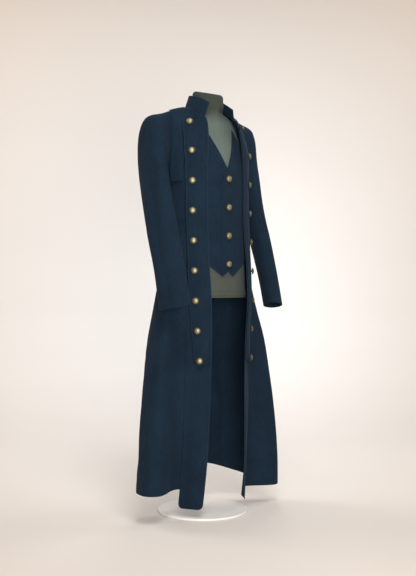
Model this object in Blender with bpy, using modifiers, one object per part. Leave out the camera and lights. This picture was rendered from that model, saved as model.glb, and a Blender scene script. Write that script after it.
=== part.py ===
"""Open long coat with a stand collar and buttoned-back lapels, on a limbless dress form.

Metres, +Z up. The wearer faces -Y, the wearer's right is -X, the floor is z = 0.
The coat is cut and sewn from flat pieces, so each piece is one wall of cloth here,
worked out from the same few sections and 0.3 mm from the piece it is sewn to.
"""
import math
from functools import lru_cache

import bmesh
import bpy
import numpy as np
from mathutils import Vector

# Cloth
CLOTH = 0.002
LAPEL_CLOTH = 0.003
COLLAR_CLOTH = 0.003
SEAM = 0.0003
LAYER = 0.0008

# Walls and their grids: how far a normal looks to each side, and where the rows lie, -1 at the hem,
# 0 at the armpit and 1 at the shoulder
NORMAL_SPAN = {"wall": 0.004, "tube": 0.03}
LOWER_ROWS = (-1.0, -0.985, -0.93, -0.86, -0.78, -0.69, -0.60, -0.51, -0.43, -0.35, -0.27, -0.20, -0.13,
              -0.06)
UPPER_ROWS = tuple(0.5 - 0.5 * math.cos(math.pi * i / 9) for i in range(10))
TOP_SEAM_SHARE = 0.0008
ROWS = LOWER_ROWS + UPPER_ROWS[:-1] + (1.0 - TOP_SEAM_SHARE,)
FRONT_COLUMNS = 10
BACK_COLUMNS = 11
SECTION_POINTS = 80
SLOPE_STEP = 0.004

# Colours and finishes
WOOL_COLOUR = (0.014, 0.030, 0.055)
BRASS_COLOUR = (0.42, 0.32, 0.16)
FORM_COLOUR = (0.115, 0.140, 0.100)
BINDING_COLOUR = (0.105, 0.125, 0.090)
STAND_COLOUR = (0.62, 0.58, 0.52)
CLOTH_ROUGHNESS = 0.85
METAL_ROUGHNESS = 0.4

# Coat lengths
HEM_Z = {"R": 0.098, "L": 0.066}
BACK_HEM_Z = 0.150
LOWEST_HEM_Z = 0.066
BAND_HEM_Z = {"R": 0.035, "L": 0.041}
BAND_CORNER = 0.010
BAND_CORNER_SHARE = 0.30
BAND_COLUMNS = (0.0, 0.12, 0.37, 0.63, 0.88, 1.0)
BAND_TAIL_ROWS = (-2.0, -1.6)
BAND_WIDTH = 0.083
ARMPIT_Z = 1.120
SHOULDER_POWER = 0.75

# Coat sections from the hem up to the armpit: the front edge, the widest point, the back
SECTION_COLUMNS = ("z", "edge_x", "edge_y", "half_width", "widest_y", "back_y", "power")
SECTIONS = (
    (0.035, 0.0885, -0.1060, 0.289, -0.050, 0.100, 2.30),
    (0.183, 0.0800, -0.1190, 0.282, -0.048, 0.098, 2.30),
    (0.323, 0.0750, -0.1256, 0.268, -0.045, 0.098, 2.30),
    (0.450, 0.0728, -0.1290, 0.249, -0.042, 0.103, 2.30),
    (0.578, 0.0722, -0.1340, 0.225, -0.038, 0.104, 2.30),
    (0.705, 0.0775, -0.1380, 0.191, -0.030, 0.108, 2.15),
    (0.817, 0.0795, -0.1300, 0.166, -0.018, 0.100, 2.02),
    (0.896, 0.0777, -0.1230, 0.152, -0.010, 0.090, 2.00),
    (0.976, 0.0755, -0.1180, 0.150, -0.005, 0.093, 2.00),
    (1.050, 0.0752, -0.1174, 0.153, -0.002, 0.104, 2.05),
    (1.120, 0.0752, -0.1172, 0.160, 0.000, 0.112, 2.10),
)

# Neck seam from the front end of the collar round to the centre of the back
NECK_COLUMNS = ("along", "x", "y", "z")
NECK_SEAM = (
    (0.00, 0.0655, -0.0865, 1.2912),
    (0.25, 0.0735, -0.0480, 1.3130),
    (0.50, 0.0710, -0.0080, 1.3320),
    (0.75, 0.0480, 0.0320, 1.3410),
    (1.00, 0.0000, 0.0460, 1.3430),
)
NECK_POINT = 0.5
NECK_SHARE = {"front": 0.42, "back": 0.40}
BODY_AXIS_Y = -0.02
SHOULDER_TIP = (0.180, 0.005, 1.299)
SHOULDER_RISE = 0.004

# Top edge of the stand collar, along the same stations as the neck seam. Its left end leans out.
COLLAR_TOP = {
    "R": (
        (0.00, 0.0448, -0.0887, 1.3421),
        (0.25, 0.0590, -0.0600, 1.3588),
        (0.50, 0.0600, -0.0200, 1.3702),
        (0.75, 0.0440, 0.0170, 1.3775),
        (1.00, 0.0000, 0.0310, 1.3800),
    ),
    "L": (
        (0.00, 0.0570, -0.0885, 1.3290),
        (0.25, 0.0630, -0.0580, 1.3450),
        (0.50, 0.0610, -0.0200, 1.3650),
        (0.75, 0.0440, 0.0170, 1.3760),
        (1.00, 0.0000, 0.0310, 1.3800),
    ),
}
COLLAR_INSET = 0.0010
COLLAR_LIFT = 0.0008
COLLAR_COLUMNS = 25
COLLAR_ROWS = 5

# Armholes are half ovals cut out of the front and the back
ARMHOLE_DEPTH = {"front": 0.15, "back": 0.12}
ARMHOLE_TOP_DROP = 0.05

# The deep fold beside each front band, by height
FOLD_COLUMNS = ("z", "from_edge", "depth", "sharpness")
FRONT_FOLD = (
    (0.035, 0.058, 0.064, 0.0),
    (0.180, 0.068, 0.054, 0.0),
    (0.340, 0.076, 0.046, 0.2),
    (0.460, 0.078, 0.042, 0.8),
    (0.610, 0.075, 0.042, 1.0),
    (0.705, 0.070, 0.036, 1.0),
    (0.800, 0.066, 0.022, 1.0),
    (0.896, 0.060, 0.005, 1.0),
    (0.950, 0.060, 0.000, 1.0),
)
FOLD_OUTER_WIDTH = 0.110

# Soft flutes of the skirt: where on the piece, how wide, how deep at the hem, where they start
FLUTES = {
    "front": ((0.84, 0.15, -0.006, 0.55),),
    "back": (
        (0.20, 0.17, 0.016, 0.70),
        (0.46, 0.17, -0.014, 0.62),
        (0.74, 0.16, 0.012, 0.60),
    ),
}

# Lapels: the front edge is shared with the coat, the outer edge stands free
LAPEL_COLUMNS = ("z", "outer_x", "outer_y")
LAPEL_OUTER = (
    (0.4915, 0.1145, -0.0990),
    (0.5164, 0.1165, -0.0975),
    (0.6085, 0.1230, -0.0912),
    (0.7068, 0.1310, -0.0895),
    (0.8000, 0.1322, -0.0858),
    (0.8944, 0.1326, -0.0808),
    (0.9928, 0.1335, -0.0758),
    (1.0882, 0.1330, -0.0748),
    (1.1824, 0.1365, -0.0715),
    (1.2300, 0.1310, -0.0616),
    (1.2820, 0.1190, -0.0425),
)
LAPEL_TOP_Z = 1.283
LAPEL_INNER_END_Z = 0.5115
LAPEL_TIP_Z = 0.4915
LAPEL_STAND_OFF = 0.0026
LAPEL_SWELL = 0.004
LAPEL_FOLD_GAP = 0.0017
LAPEL_ROLL = 0.25
LAPEL_COLUMN_COUNT = 5
LAPEL_ROWS = 19
LAPEL_BUTTON_ACROSS = 0.70
LAPEL_BUTTONS = 9
LAPEL_BUTTON_TOP_Z = 1.2753
LAPEL_BUTTON_END_Z = 0.5120

# Shoulder flaps beside the lapels, free at the lower edge
FLAP_HEM_Z = 1.0835
FLAP_INNER = 0.53
FLAP_OUTER = 0.80
FLAP_STAND_OFF = 0.004
FLAP_ARMHOLE_MARGIN = 0.012
FLAP_TOP_S = 0.975
FLAP_COLUMNS = 5
FLAP_STEP = 0.02
FLAP_INNER_LIFT = 0.4
FLAP_FREE = 0.6

# Sleeves: the outer and the inner side of each ring, and its half depth fore and aft
SLEEVE_COLUMNS = ("outer_x", "outer_z", "inner_x", "inner_z", "middle_y", "half_fore", "turn")
SLEEVE_RINGS = (
    (0.2040, 1.2960, 0.1650, 1.1140, 0.010, 0.0530, 2.0),
    (0.2210, 1.2830, 0.1665, 1.1050, 0.014, 0.0560, 5.0),
    (0.2285, 1.2520, 0.1680, 1.0890, 0.013, 0.0585, 9.0),
    (0.2300, 1.1970, 0.1690, 1.0650, 0.009, 0.0595, 12.0),
    (0.2315, 1.1200, 0.1695, 1.0300, -0.003, 0.0590, 15.0),
    (0.2335, 1.0270, 0.1700, 0.9850, -0.022, 0.0570, 19.0),
    (0.2390, 0.9170, 0.1765, 0.9000, -0.056, 0.0555, 23.0),
    (0.2400, 0.8160, 0.1780, 0.8100, -0.086, 0.0530, 26.0),
    (0.2405, 0.7500, 0.1800, 0.7480, -0.103, 0.0525, 27.0),
    (0.2410, 0.6810, 0.1810, 0.6870, -0.118, 0.0520, 28.0),
)
SLEEVE_STEP = 20.0
SLEEVE_ROWS = tuple(i / 16 for i in range(17))
SLEEVE_SEAM = 100.0
SLEEVE_SEAM_TURN = 0.16
SLEEVE_SEAM_GAP = 0.0006
ARMHOLE_CENTRE = (0.150, 0.004, 1.215)
SLEEVE_MIDDLE_X = 0.204
SLEEVE_HEM_SLANT = 0.010

# Waistcoat front, held inside the coat's front edges
WAISTCOAT_V_Z = 1.131
WAISTCOAT_TOP_Z = 1.2635
WAISTCOAT_TOP_X = 0.060
WAISTCOAT_V_POWER = 1.12
WAISTCOAT_LIFT = 0.0034
WAISTCOAT_LAP_START = 0.002
WAISTCOAT_LAP_WIDTH = 0.030
WAISTCOAT_STEP = 0.002
WAISTCOAT_COLUMNS = (0.0, 0.09, 0.18, 0.27, 0.36, 0.48, 0.60, 0.72, 0.86, 1.0)
WAISTCOAT_ROWS = (0.0, 0.15, 0.30, 0.45, 0.58, 0.68, 0.76, 0.82, 0.87, 0.91, 0.945, 0.975, 1.0)
WAISTCOAT_OVERLAP = 0.024
WAISTCOAT_SIDE_X = 0.100
WAISTCOAT_SIDE_TOP_Z = 1.190
WAISTCOAT_POINT_Z = 0.780
WAISTCOAT_POINT_X = 0.0228
WAISTCOAT_NOTCH_Z = 0.7956
WAISTCOAT_SIDE_HEM_Z = 0.836
WAISTCOAT_BUTTONS = 4
WAISTCOAT_BUTTON_TOP_Z = 1.0937
WAISTCOAT_BUTTON_PITCH = 0.0914

# Buttons: domed discs on a short shank
BUTTON_RADIUS = 0.0118
BUTTON_DOME = 0.0058
BUTTON_RIM = 0.0014
BUTTON_SHANK_RADIUS = 0.0035
BUTTON_SHANK = 0.0020
BUTTON_SHOULDER = (0.62, 0.74)
BUTTON_SIDES = 10
BUTTON_TURN_ACROSS = 0.05
BUTTON_TURN_UP = 0.01

# Dress form
FORM_COLUMNS = ("z", "half_width", "widest_y", "front_y", "back_y", "power")
FORM_SECTIONS = (
    (0.711, 0.1440, -0.014, -0.1235, 0.0900, 2.25),
    (0.760, 0.1420, -0.012, -0.1240, 0.0910, 2.25),
    (0.820, 0.1390, -0.010, -0.1240, 0.0850, 2.25),
    (0.896, 0.1340, -0.006, -0.1240, 0.0780, 2.25),
    (0.976, 0.1350, -0.003, -0.1238, 0.0830, 2.25),
    (1.050, 0.1390, 0.000, -0.1242, 0.0940, 2.25),
    (1.120, 0.1430, 0.002, -0.1225, 0.1000, 2.15),
    (1.180, 0.1460, 0.003, -0.1130, 0.0940, 2.00),
    (1.225, 0.1500, 0.003, -0.1000, 0.0800, 1.80),
    (1.255, 0.1520, 0.002, -0.0900, 0.0680, 1.65),
    (1.274, 0.1510, 0.001, -0.0850, 0.0600, 1.55),
    (1.290, 0.1480, 0.000, -0.0815, 0.0500, 1.40),
    (1.302, 0.1420, -0.001, -0.0795, 0.0400, 1.25),
    (1.312, 0.1240, 0.000, -0.0780, 0.0340, 1.15),
    (1.324, 0.0950, 0.004, -0.0765, 0.0300, 1.08),
    (1.328, 0.0640, -0.010, -0.0760, 0.0270, 1.60),
    (1.334, 0.0570, -0.019, -0.0755, 0.0250, 2.10),
    (1.350, 0.0520, -0.024, -0.0745, 0.0230, 2.25),
    (1.385, 0.0480, -0.029, -0.0760, 0.0180, 2.25),
)
FORM_AROUND = 28
NECK_TOP_SLOPE = 0.24
FORM_FINE_ROWS = 8
FORM_SMOOTH_ANGLE = 60.0
RIM_HEIGHT = 0.024
RIM_CLOTH = 0.0015

# Stand
POLE_RADIUS = 0.0125
POLE_Y = 0.018
BASE_RADIUS = 0.150
BASE_HEIGHT = 0.008
BASE_BEVEL = 0.003
POLE_SIDES = 20
BASE_SIDES = 40

SIDES = {"R": -1.0, "L": 1.0}


def lerp(start, end, amount):
    return start + (end - start) * amount


def ease(amount):
    amount = min(max(amount, 0.0), 1.0)
    return amount * amount * (3.0 - 2.0 * amount)


def track(table, columns, name, station):
    """Value of a named column between the rows of a table, on a smooth curve."""
    keys = [row[0] for row in table]
    values = [row[columns.index(name)] for row in table]
    if station <= keys[0]:
        return values[0]
    if station >= keys[-1]:
        return values[-1]
    at = max(i for i in range(len(keys) - 1) if keys[i] <= station)
    step = keys[at + 1] - keys[at]
    slopes = []
    for i in (at, at + 1):
        before, after = max(i - 1, 0), min(i + 1, len(keys) - 1)
        slopes.append((values[after] - values[before]) / (keys[after] - keys[before]))
    t = (station - keys[at]) / step
    blend = (2 * t**3 - 3 * t**2 + 1, t**3 - 2 * t**2 + t, 3 * t**2 - 2 * t**3, t**3 - t**2)
    return (blend[0] * values[at] + blend[1] * step * slopes[0]
            + blend[2] * values[at + 1] + blend[3] * step * slopes[1])


def section(name, z):
    return track(SECTIONS, SECTION_COLUMNS, name, z)


@lru_cache(maxsize=None)
def half_section(part, z):
    """Outline of the front or back half section at a height, from its inner end to the side."""
    width, widest = section("half_width", z), section("widest_y", z)
    power = section("power", z)
    if part == "front":
        inner = section("edge_x", z)
        reach = (section("edge_y", z) - widest) / (1 - (inner / width)**power)**(1 / power)
    else:
        inner = 0.0
        reach = section("back_y", z) - widest
    start = math.asin((inner / width)**(power / 2))
    angles = np.linspace(start, math.pi / 2, SECTION_POINTS)
    xs = width * np.sin(angles)**(2 / power)
    ys = widest + reach * np.abs(np.cos(angles))**(2 / power)
    if part == "front":
        unfolded = walk(xs, ys)
        ys = ys + [fold_shift(distance, z, unfolded[-1]) for distance in unfolded]
    return xs, ys, walk(xs, ys)


def walk(xs, ys):
    """Distance along an outline at each of its points."""
    return np.concatenate(([0.0], np.cumsum(np.hypot(np.diff(xs), np.diff(ys)))))


def section_length(part, z):
    return half_section(part, z)[2][-1]


def fold_shift(distance, z, length):
    """How far the fold beside the front band draws the cloth in."""
    centre = track(FRONT_FOLD, FOLD_COLUMNS, "from_edge", z)
    depth = track(FRONT_FOLD, FOLD_COLUMNS, "depth", z)
    if distance < centre:
        share = distance / centre
        soft = 0.5 * (1 - math.cos(math.pi * share))
        sharp = math.sin(math.pi / 2 * share)
        return depth * lerp(soft, sharp, track(FRONT_FOLD, FOLD_COLUMNS, "sharpness", z))
    share = (distance - centre) / min(FOLD_OUTER_WIDTH, length - centre)
    return depth * 0.5 * (1 + math.cos(math.pi * min(share, 1.0)))


def flute_shift(part, c, z):
    """How far the soft flutes of the skirt draw the cloth in."""
    total = 0.0
    for centre, half_width, depth, top_z in FLUTES[part]:
        offset = (c - centre) / half_width
        if abs(offset) < 1 and z < top_z:
            share = ease((top_z - z) / (top_z - LOWEST_HEM_Z))
            total += depth * share * 0.5 * (1 + math.cos(math.pi * offset))
    return total


def skirt_point(part, c, z):
    """Point of the coat below the armpit, c running from the inner end to the side seam."""
    xs, ys, lengths = half_section(part, z)
    distance = c * lengths[-1]
    x = float(np.interp(distance, lengths, xs))
    y = float(np.interp(distance, lengths, ys))
    ahead = min(distance + SLOPE_STEP, lengths[-1])
    behind = max(distance - SLOPE_STEP, 0.0)
    along_x = float(np.interp(ahead, lengths, xs) - np.interp(behind, lengths, xs))
    along_y = float(np.interp(ahead, lengths, ys) - np.interp(behind, lengths, ys))
    length = math.hypot(along_x, along_y)
    inward = 1.0 if part == "front" else -1.0
    flute = flute_shift(part, c, z)
    x -= flute * abs(along_y) / length
    y += inward * flute * abs(along_x) / length
    return Vector((x, y, z))


def neck_point(along):
    return Vector([track(NECK_SEAM, NECK_COLUMNS, axis, along) for axis in "xyz"])


def shoulder_point(along):
    start, end = neck_point(NECK_POINT), Vector(SHOULDER_TIP)
    point = start.lerp(end, along)
    point.z += SHOULDER_RISE * math.sin(math.pi * along)
    return point


def top_point(part, c):
    """Top edge of a front or a back: first the neck seam, then the shoulder seam."""
    neck_share = NECK_SHARE[part]
    if c < neck_share:
        reach = c / neck_share
        along = NECK_POINT * reach if part == "front" else 1.0 - (1.0 - NECK_POINT) * reach
        return neck_point(along)
    return shoulder_point((c - neck_share) / (1.0 - neck_share))


def coat_point(part, c, s, hem_z):
    """Point of the coat: s is -1 at the hem, 0 at the armpit and 1 at the neck and shoulder."""
    if s <= 0:
        return skirt_point(part, c, lerp(ARMPIT_Z, hem_z, -s))
    low, top = skirt_point(part, c, ARMPIT_Z), top_point(part, c)
    angle = s * math.pi / 2
    rise = math.sin(angle)**SHOULDER_POWER
    depth = max(math.cos(angle), 0.0)**SHOULDER_POWER
    return Vector((lerp(low.x, top.x, rise), lerp(top.y, low.y, depth), lerp(low.z, top.z, rise)))


def armhole_c(part, s):
    """Where the armhole cuts a front or a back above the armpit."""
    if s <= 0:
        return 1.0
    return 1.0 - ARMHOLE_DEPTH[part] * math.sqrt(max(4 * s * (1 - s), 0.0)) - ARMHOLE_TOP_DROP * s


def back_hem(side, c):
    """Height of the back hem, from the middle of the back to the side seam."""
    return lerp(BACK_HEM_Z, HEM_Z[side], ease(c))


def collection(name):
    made = bpy.data.collections.new(name)
    bpy.context.scene.collection.children.link(made)
    return made


def finish_material(name, colour, roughness, metallic=0.0):
    material = bpy.data.materials.new(name)
    material.use_nodes = True
    shader = material.node_tree.nodes["Principled BSDF"]
    shader.inputs["Base Color"].default_value = (*colour, 1.0)
    shader.inputs["Roughness"].default_value = roughness
    shader.inputs["Metallic"].default_value = metallic
    return material


def wool(name):
    return finish_material(name, WOOL_COLOUR, CLOTH_ROUGHNESS)


def add_object(name, bm, material, smooth_angle=50.0):
    """Puts a bmesh in the coat's collection as one named object with its material."""
    mesh = bpy.data.meshes.new(name)
    bm.to_mesh(mesh)
    bm.free()
    mesh.shade_smooth()
    mesh.set_sharp_from_angle(angle=math.radians(smooth_angle))
    mesh.materials.append(material)
    made = bpy.data.objects.new(name, mesh)
    PARTS.objects.link(made)
    return made


def wall_grid(name, place, across, up, thickness, outward, material, flat_column=None, rim_centre=None):
    """Cloth wall: a grid put in place by a function of its two stations, with its inner side behind it.

    The inner side follows the surface's own normals, so that walls stay apart along a seam.
    outward is a point function that tells which way is out of the garment. A flat column has its
    inner side straight behind it, without a step to the left or right. A tube goes on past its first
    and last column, and its first row is sunk towards the centre of the hole that it is sewn into.
    """
    tube = rim_centre is not None
    span_across = (across[-1] - across[0]) * NORMAL_SPAN["tube" if tube else "wall"]
    span_up = (up[-1] - up[0]) * NORMAL_SPAN["tube" if tube else "wall"]

    def normal_at(column, row):
        before, after = column - span_across, column + span_across
        if not tube:
            before, after = max(before, across[0]), min(after, across[-1])
        right = place(after, row) - place(before, row)
        rise = place(column, min(row + span_up, up[-1])) - place(column, max(row - span_up, up[0]))
        normal = right.cross(rise)
        if column == flat_column:
            normal.x = 0.0
        if tube and row == up[0]:
            spoke = place(column, row) - rim_centre
            spoke.x = 0.0
            normal = spoke if spoke.dot(normal) > 0 else -spoke
        return normal.normalized()

    bm = bmesh.new()
    bmesh.ops.create_grid(bm, x_segments=len(across) - 1, y_segments=len(up) - 1, size=0.5)
    grid = [(vert, across[round((vert.co.x + 0.5) * (len(across) - 1))],
             up[round((vert.co.y + 0.5) * (len(up) - 1))]) for vert in bm.verts]
    for vert, column, row in grid:
        vert.co = place(column, row)
    normals = {vert: normal_at(column, row) for vert, column, row in grid}
    side = sum(normals[vert].dot(outward(vert.co)) for vert in normals)
    inward = -math.copysign(thickness, side)
    back = bmesh.ops.duplicate(bm, geom=bm.verts[:] + bm.edges[:] + bm.faces[:])
    for vert, normal in normals.items():
        back["vert_map"][vert].co = vert.co + normal * inward
    rims = [edge for edge in bm.edges if edge.is_boundary]
    bmesh.ops.bridge_loops(bm, edges=rims)
    bmesh.ops.recalc_face_normals(bm, faces=bm.faces)
    return add_object(name, bm, material)


def forward(point):
    return Vector((0.0, -1.0, 0.0))


def from_axis(point):
    return Vector((point.x, point.y - BODY_AXIS_Y, 0.0))


def mirrored(point, side):
    return Vector((point.x * SIDES[side], point.y, point.z))


def spaced(start, end, count):
    return [lerp(start, end, i / (count - 1)) for i in range(count)]


def coat_height(side, s):
    """Height of a row of the front and the band below the armpit, and the armpit above it."""
    return lerp(ARMPIT_Z, HEM_Z[side], min(max(-s, 0.0), 1.0))


def band_share(side, s):
    """Share of the front taken by the band, whose width is constant."""
    return BAND_WIDTH / section_length("front", coat_height(side, s))


def seam_share(part, side, s):
    """Half a seam, as a share of a row."""
    return 0.5 * SEAM / section_length(part, coat_height(side, s))


def band_hem_z(side, across):
    """The band's lower corners are rounded."""
    corner = max(abs(across - 0.5) * 2 - 1 + BAND_CORNER_SHARE, 0.0) / BAND_CORNER_SHARE
    return BAND_HEM_Z[side] + BAND_CORNER * (1 - math.sqrt(max(1 - corner * corner, 0.0)))


def make_band(side):
    """Front band: the strip behind the lapel, from the neck to its own longer hem."""
    def place(across, s):
        c = across * (band_share(side, s) - seam_share("front", side, s))
        if s >= -1.0:
            return mirrored(coat_point("front", c, s, HEM_Z[side]), side)
        z = lerp(HEM_Z[side], band_hem_z(side, across), -1.0 - s)
        return mirrored(skirt_point("front", across * BAND_WIDTH / section_length("front", z), z), side)

    return wall_grid(f"front_band_{side}", place, BAND_COLUMNS, BAND_TAIL_ROWS + ROWS, CLOTH,
                     from_axis, wool(f"Wool band {side}"))


def make_front(side):
    """Front: from the band round to the side seam, the armhole and the shoulder."""
    def place(across, s):
        start = band_share(side, s) + seam_share("front", side, s)
        end = armhole_c("front", s) - seam_share("front", side, s)
        return mirrored(coat_point("front", lerp(start, end, across), s, HEM_Z[side]), side)

    return wall_grid(f"front_{side}", place, spaced(0.0, 1.0, FRONT_COLUMNS), ROWS, CLOTH,
                     from_axis, wool(f"Wool front {side}"))


def make_back(side):
    """Back: from the seam down the middle to the side seam, the armhole and the shoulder."""
    def place(across, s):
        seam = seam_share("back", side, s)
        c = lerp(seam, armhole_c("back", s) - seam, across)
        return mirrored(coat_point("back", c, s, back_hem(side, c)), side)

    return wall_grid(f"back_{side}", place, spaced(0.0, 1.0, BACK_COLUMNS), ROWS, CLOTH,
                     from_axis, wool(f"Wool back {side}"), flat_column=0)


def front_edge(z):
    """The coat's front edge at a height, also above the armpit."""
    if z <= ARMPIT_Z:
        return Vector((section("edge_x", z), section("edge_y", z), z))
    top = neck_point(0.0)
    rise = min((z - ARMPIT_Z) / (top.z - ARMPIT_Z), 1.0)
    angle = math.asin(rise**(1 / SHOULDER_POWER))
    depth = math.cos(angle)**SHOULDER_POWER
    low_x, low_y = section("edge_x", ARMPIT_Z), section("edge_y", ARMPIT_Z)
    return Vector((lerp(low_x, top.x, rise), lerp(top.y, low_y, depth), z))


def lapel_point(side, across, z):
    """Point of a lapel's outer face, across running from the front edge to the free edge."""
    inner = front_edge(z)
    outer = Vector((track(LAPEL_OUTER, LAPEL_COLUMNS, "outer_x", z),
                    track(LAPEL_OUTER, LAPEL_COLUMNS, "outer_y", z), z))
    along = outer - inner
    out = Vector((along.y, -along.x, 0.0)).normalized()
    swell = LAPEL_SWELL * math.sin(math.pi * across)
    stand_off = lerp(LAPEL_FOLD_GAP, LAPEL_STAND_OFF, ease(across / LAPEL_ROLL))
    point = inner.lerp(outer, across) + out * (stand_off + LAPEL_CLOTH + swell)
    return mirrored(point, side)


def lapel_end_z(across):
    """The slanted lower end, with its point at the free edge."""
    return lerp(LAPEL_INNER_END_Z, LAPEL_TIP_Z, across)


def make_lapel(side):
    """Lapel: turned back and buttoned down, free at its outer edge and its slanted end."""
    def place(across, up):
        return lapel_point(side, across, lerp(lapel_end_z(across), LAPEL_TOP_Z, up))

    columns, rows = spaced(0.0, 1.0, LAPEL_COLUMN_COUNT), spaced(0.0, 1.0, LAPEL_ROWS)
    return wall_grid(f"lapel_{side}", place, columns, rows, LAPEL_CLOTH, forward, wool(f"Wool lapel {side}"))


def make_flap(side):
    """Shoulder flap between the lapel and the armhole, free at its lower edge."""
    low_s = -(ARMPIT_Z - FLAP_HEM_Z) / (ARMPIT_Z - HEM_Z[side])
    rows = (low_s,) + UPPER_ROWS[:-1] + (FLAP_TOP_S,)

    def place(across, s):
        end = min(FLAP_OUTER, armhole_c("front", s) - FLAP_ARMHOLE_MARGIN)
        c = lerp(FLAP_INNER, end, across)
        point = coat_point("front", c, s, HEM_Z[side])
        beside = coat_point("front", c - FLAP_STEP, s, HEM_Z[side])
        above = coat_point("front", c, s + FLAP_STEP, HEM_Z[side])
        out = (point - beside).cross(above - point).normalized()
        if out.y > 0:
            out.negate()
        lift = FLAP_STAND_OFF * ease(1.0 - (s - low_s) / FLAP_FREE) * lerp(FLAP_INNER_LIFT, 1.0, across)
        return mirrored(point + out * (CLOTH + 2 * LAYER + lift), side)

    return wall_grid(f"shoulder_flap_{side}", place, spaced(0.0, 1.0, FLAP_COLUMNS), rows, CLOTH, forward,
                     wool(f"Wool flap {side}"))


def armhole_point(turn):
    """Armhole by angle: 0 at the shoulder tip, 90 degrees at the front, 180 at the armpit."""
    turn %= 360.0
    part = "front" if turn < 180.0 else "back"
    away = turn if turn < 180.0 else 360.0 - turn
    s = 0.5 + 0.5 * math.cos(math.radians(away))
    return coat_point(part, armhole_c(part, s), s, LOWEST_HEM_Z)


def sleeve_ring(index, turn):
    """Point of a sleeve ring, by the same angle as the armhole."""
    row = dict(zip(SLEEVE_COLUMNS, SLEEVE_RINGS[index]))
    outer = Vector((row["outer_x"], row["middle_y"], row["outer_z"]))
    inner = Vector((row["inner_x"], row["middle_y"], row["inner_z"]))
    swing = math.radians(row["turn"])
    fore = Vector((-math.sin(swing), -math.cos(swing), 0.0)) * row["half_fore"]
    middle, across = (outer + inner) / 2, (outer - inner) / 2
    across = Vector((across.x * math.cos(swing), -across.x * math.sin(swing), across.z))
    angle = math.radians(turn)
    slant = SLEEVE_HEM_SLANT * math.sin(angle) if index == len(SLEEVE_RINGS) - 1 else 0.0
    return middle + across * math.cos(angle) + fore * math.sin(angle) + Vector((0, 0, slant))


def sleeve_point(turn, along):
    """Point of the sleeve between its rings, on a smooth curve down its length."""
    count = len(SLEEVE_RINGS)
    start = armhole_point(turn)
    rings = [start + Vector((SLEEVE_SEAM_GAP, 0.0, 0.0))] + [sleeve_ring(i, turn) for i in range(count)]
    place = min(along * count, count - 1e-6)
    at = int(place)
    t = place - at
    before, after = rings[max(at - 1, 0)], rings[min(at + 2, count)]
    here, there = rings[at], rings[at + 1]
    return 0.5 * (2 * here + (there - before) * t + (2 * before - 5 * here + 4 * there - after) * t**2
                  + (3 * here - before - 3 * there + after) * t**3)


def make_sleeve(side, name, first, last):
    """One piece of a two-piece sleeve: the upper over the outside, the under against the body."""
    steps = round((last - first) / SLEEVE_STEP) + 1

    def place(turn, along):
        return mirrored(sleeve_point(turn, along), side)

    def outward(point):
        return Vector((point.x - SLEEVE_MIDDLE_X * SIDES[side], 0.0, 0.0))

    turns = spaced(first, last, steps)
    turns[0] += SLEEVE_SEAM_TURN
    turns[-1] -= SLEEVE_SEAM_TURN
    return wall_grid(f"{name}_{side}", place, turns, SLEEVE_ROWS, CLOTH, outward, wool(f"Wool {name} {side}"),
                     rim_centre=Vector(ARMHOLE_CENTRE))


def make_collar():
    """Stand collar: one band round the neck, open at the front, its front corners drawn in."""
    def place(around, up):
        side = "R" if around < 0 else "L"
        along = 1.0 - abs(around)
        base = neck_point(along)
        top = Vector([track(COLLAR_TOP[side], NECK_COLUMNS, axis, along) for axis in "xyz"])
        base = base - from_axis(base).normalized() * COLLAR_INSET + Vector((0.0, 0.0, COLLAR_LIFT))
        return mirrored(base.lerp(top, up), side)

    return wall_grid("collar", place, spaced(-1.0, 1.0, COLLAR_COLUMNS), spaced(0.0, 1.0, COLLAR_ROWS),
                     COLLAR_CLOTH, from_axis, wool("Wool collar"))


def form_ring(z, grow=0.0):
    """Closed ring of the dress form at a height, its outline grown outwards."""
    width, widest, front, back, power = [track(FORM_SECTIONS, FORM_COLUMNS, name, z)
                                         for name in FORM_COLUMNS[1:]]
    ring = []
    for i in range(FORM_AROUND):
        angle = 2 * math.pi * i / FORM_AROUND
        across, fore = math.sin(angle), math.cos(angle)
        x = (width + grow) * math.copysign(abs(across)**(2 / power), across)
        reach = (widest - front + grow) if fore > 0 else (back - widest + grow)
        y = widest - reach * math.copysign(abs(fore)**(2 / power), fore)
        ring.append(Vector((x, y, z)))
    return ring


def loft(bm, rings):
    """Skins closed rings of equal count, first to last, and returns their vertices."""
    made = [[bm.verts.new(point) for point in ring] for ring in rings]
    for low, high in zip(made, made[1:]):
        for i in range(len(low)):
            j = (i + 1) % len(low)
            bm.faces.new((low[i], low[j], high[j], high[i]))
    return made


def make_form():
    """Torso of the dress form, from its flat underside to the slanted top of the neck."""
    rows = [row[0] for row in FORM_SECTIONS]
    levels = sorted(set(rows) | {(low + high) / 2 for low, high in zip(rows[:FORM_FINE_ROWS], rows[1:])})
    rings = [form_ring(z) for z in levels]
    neck_y = sum(point.y for point in rings[-1]) / FORM_AROUND
    for point in rings[-1]:
        point.z += NECK_TOP_SLOPE * (point.y - neck_y)
    bm = bmesh.new()
    made = loft(bm, rings)
    bm.faces.new(reversed(made[0]))
    bm.faces.new(made[-1])
    bmesh.ops.recalc_face_normals(bm, faces=bm.faces)
    return add_object("form_torso", bm, finish_material("Form cloth", FORM_COLOUR, CLOTH_ROUGHNESS),
                      FORM_SMOOTH_ANGLE)


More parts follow.
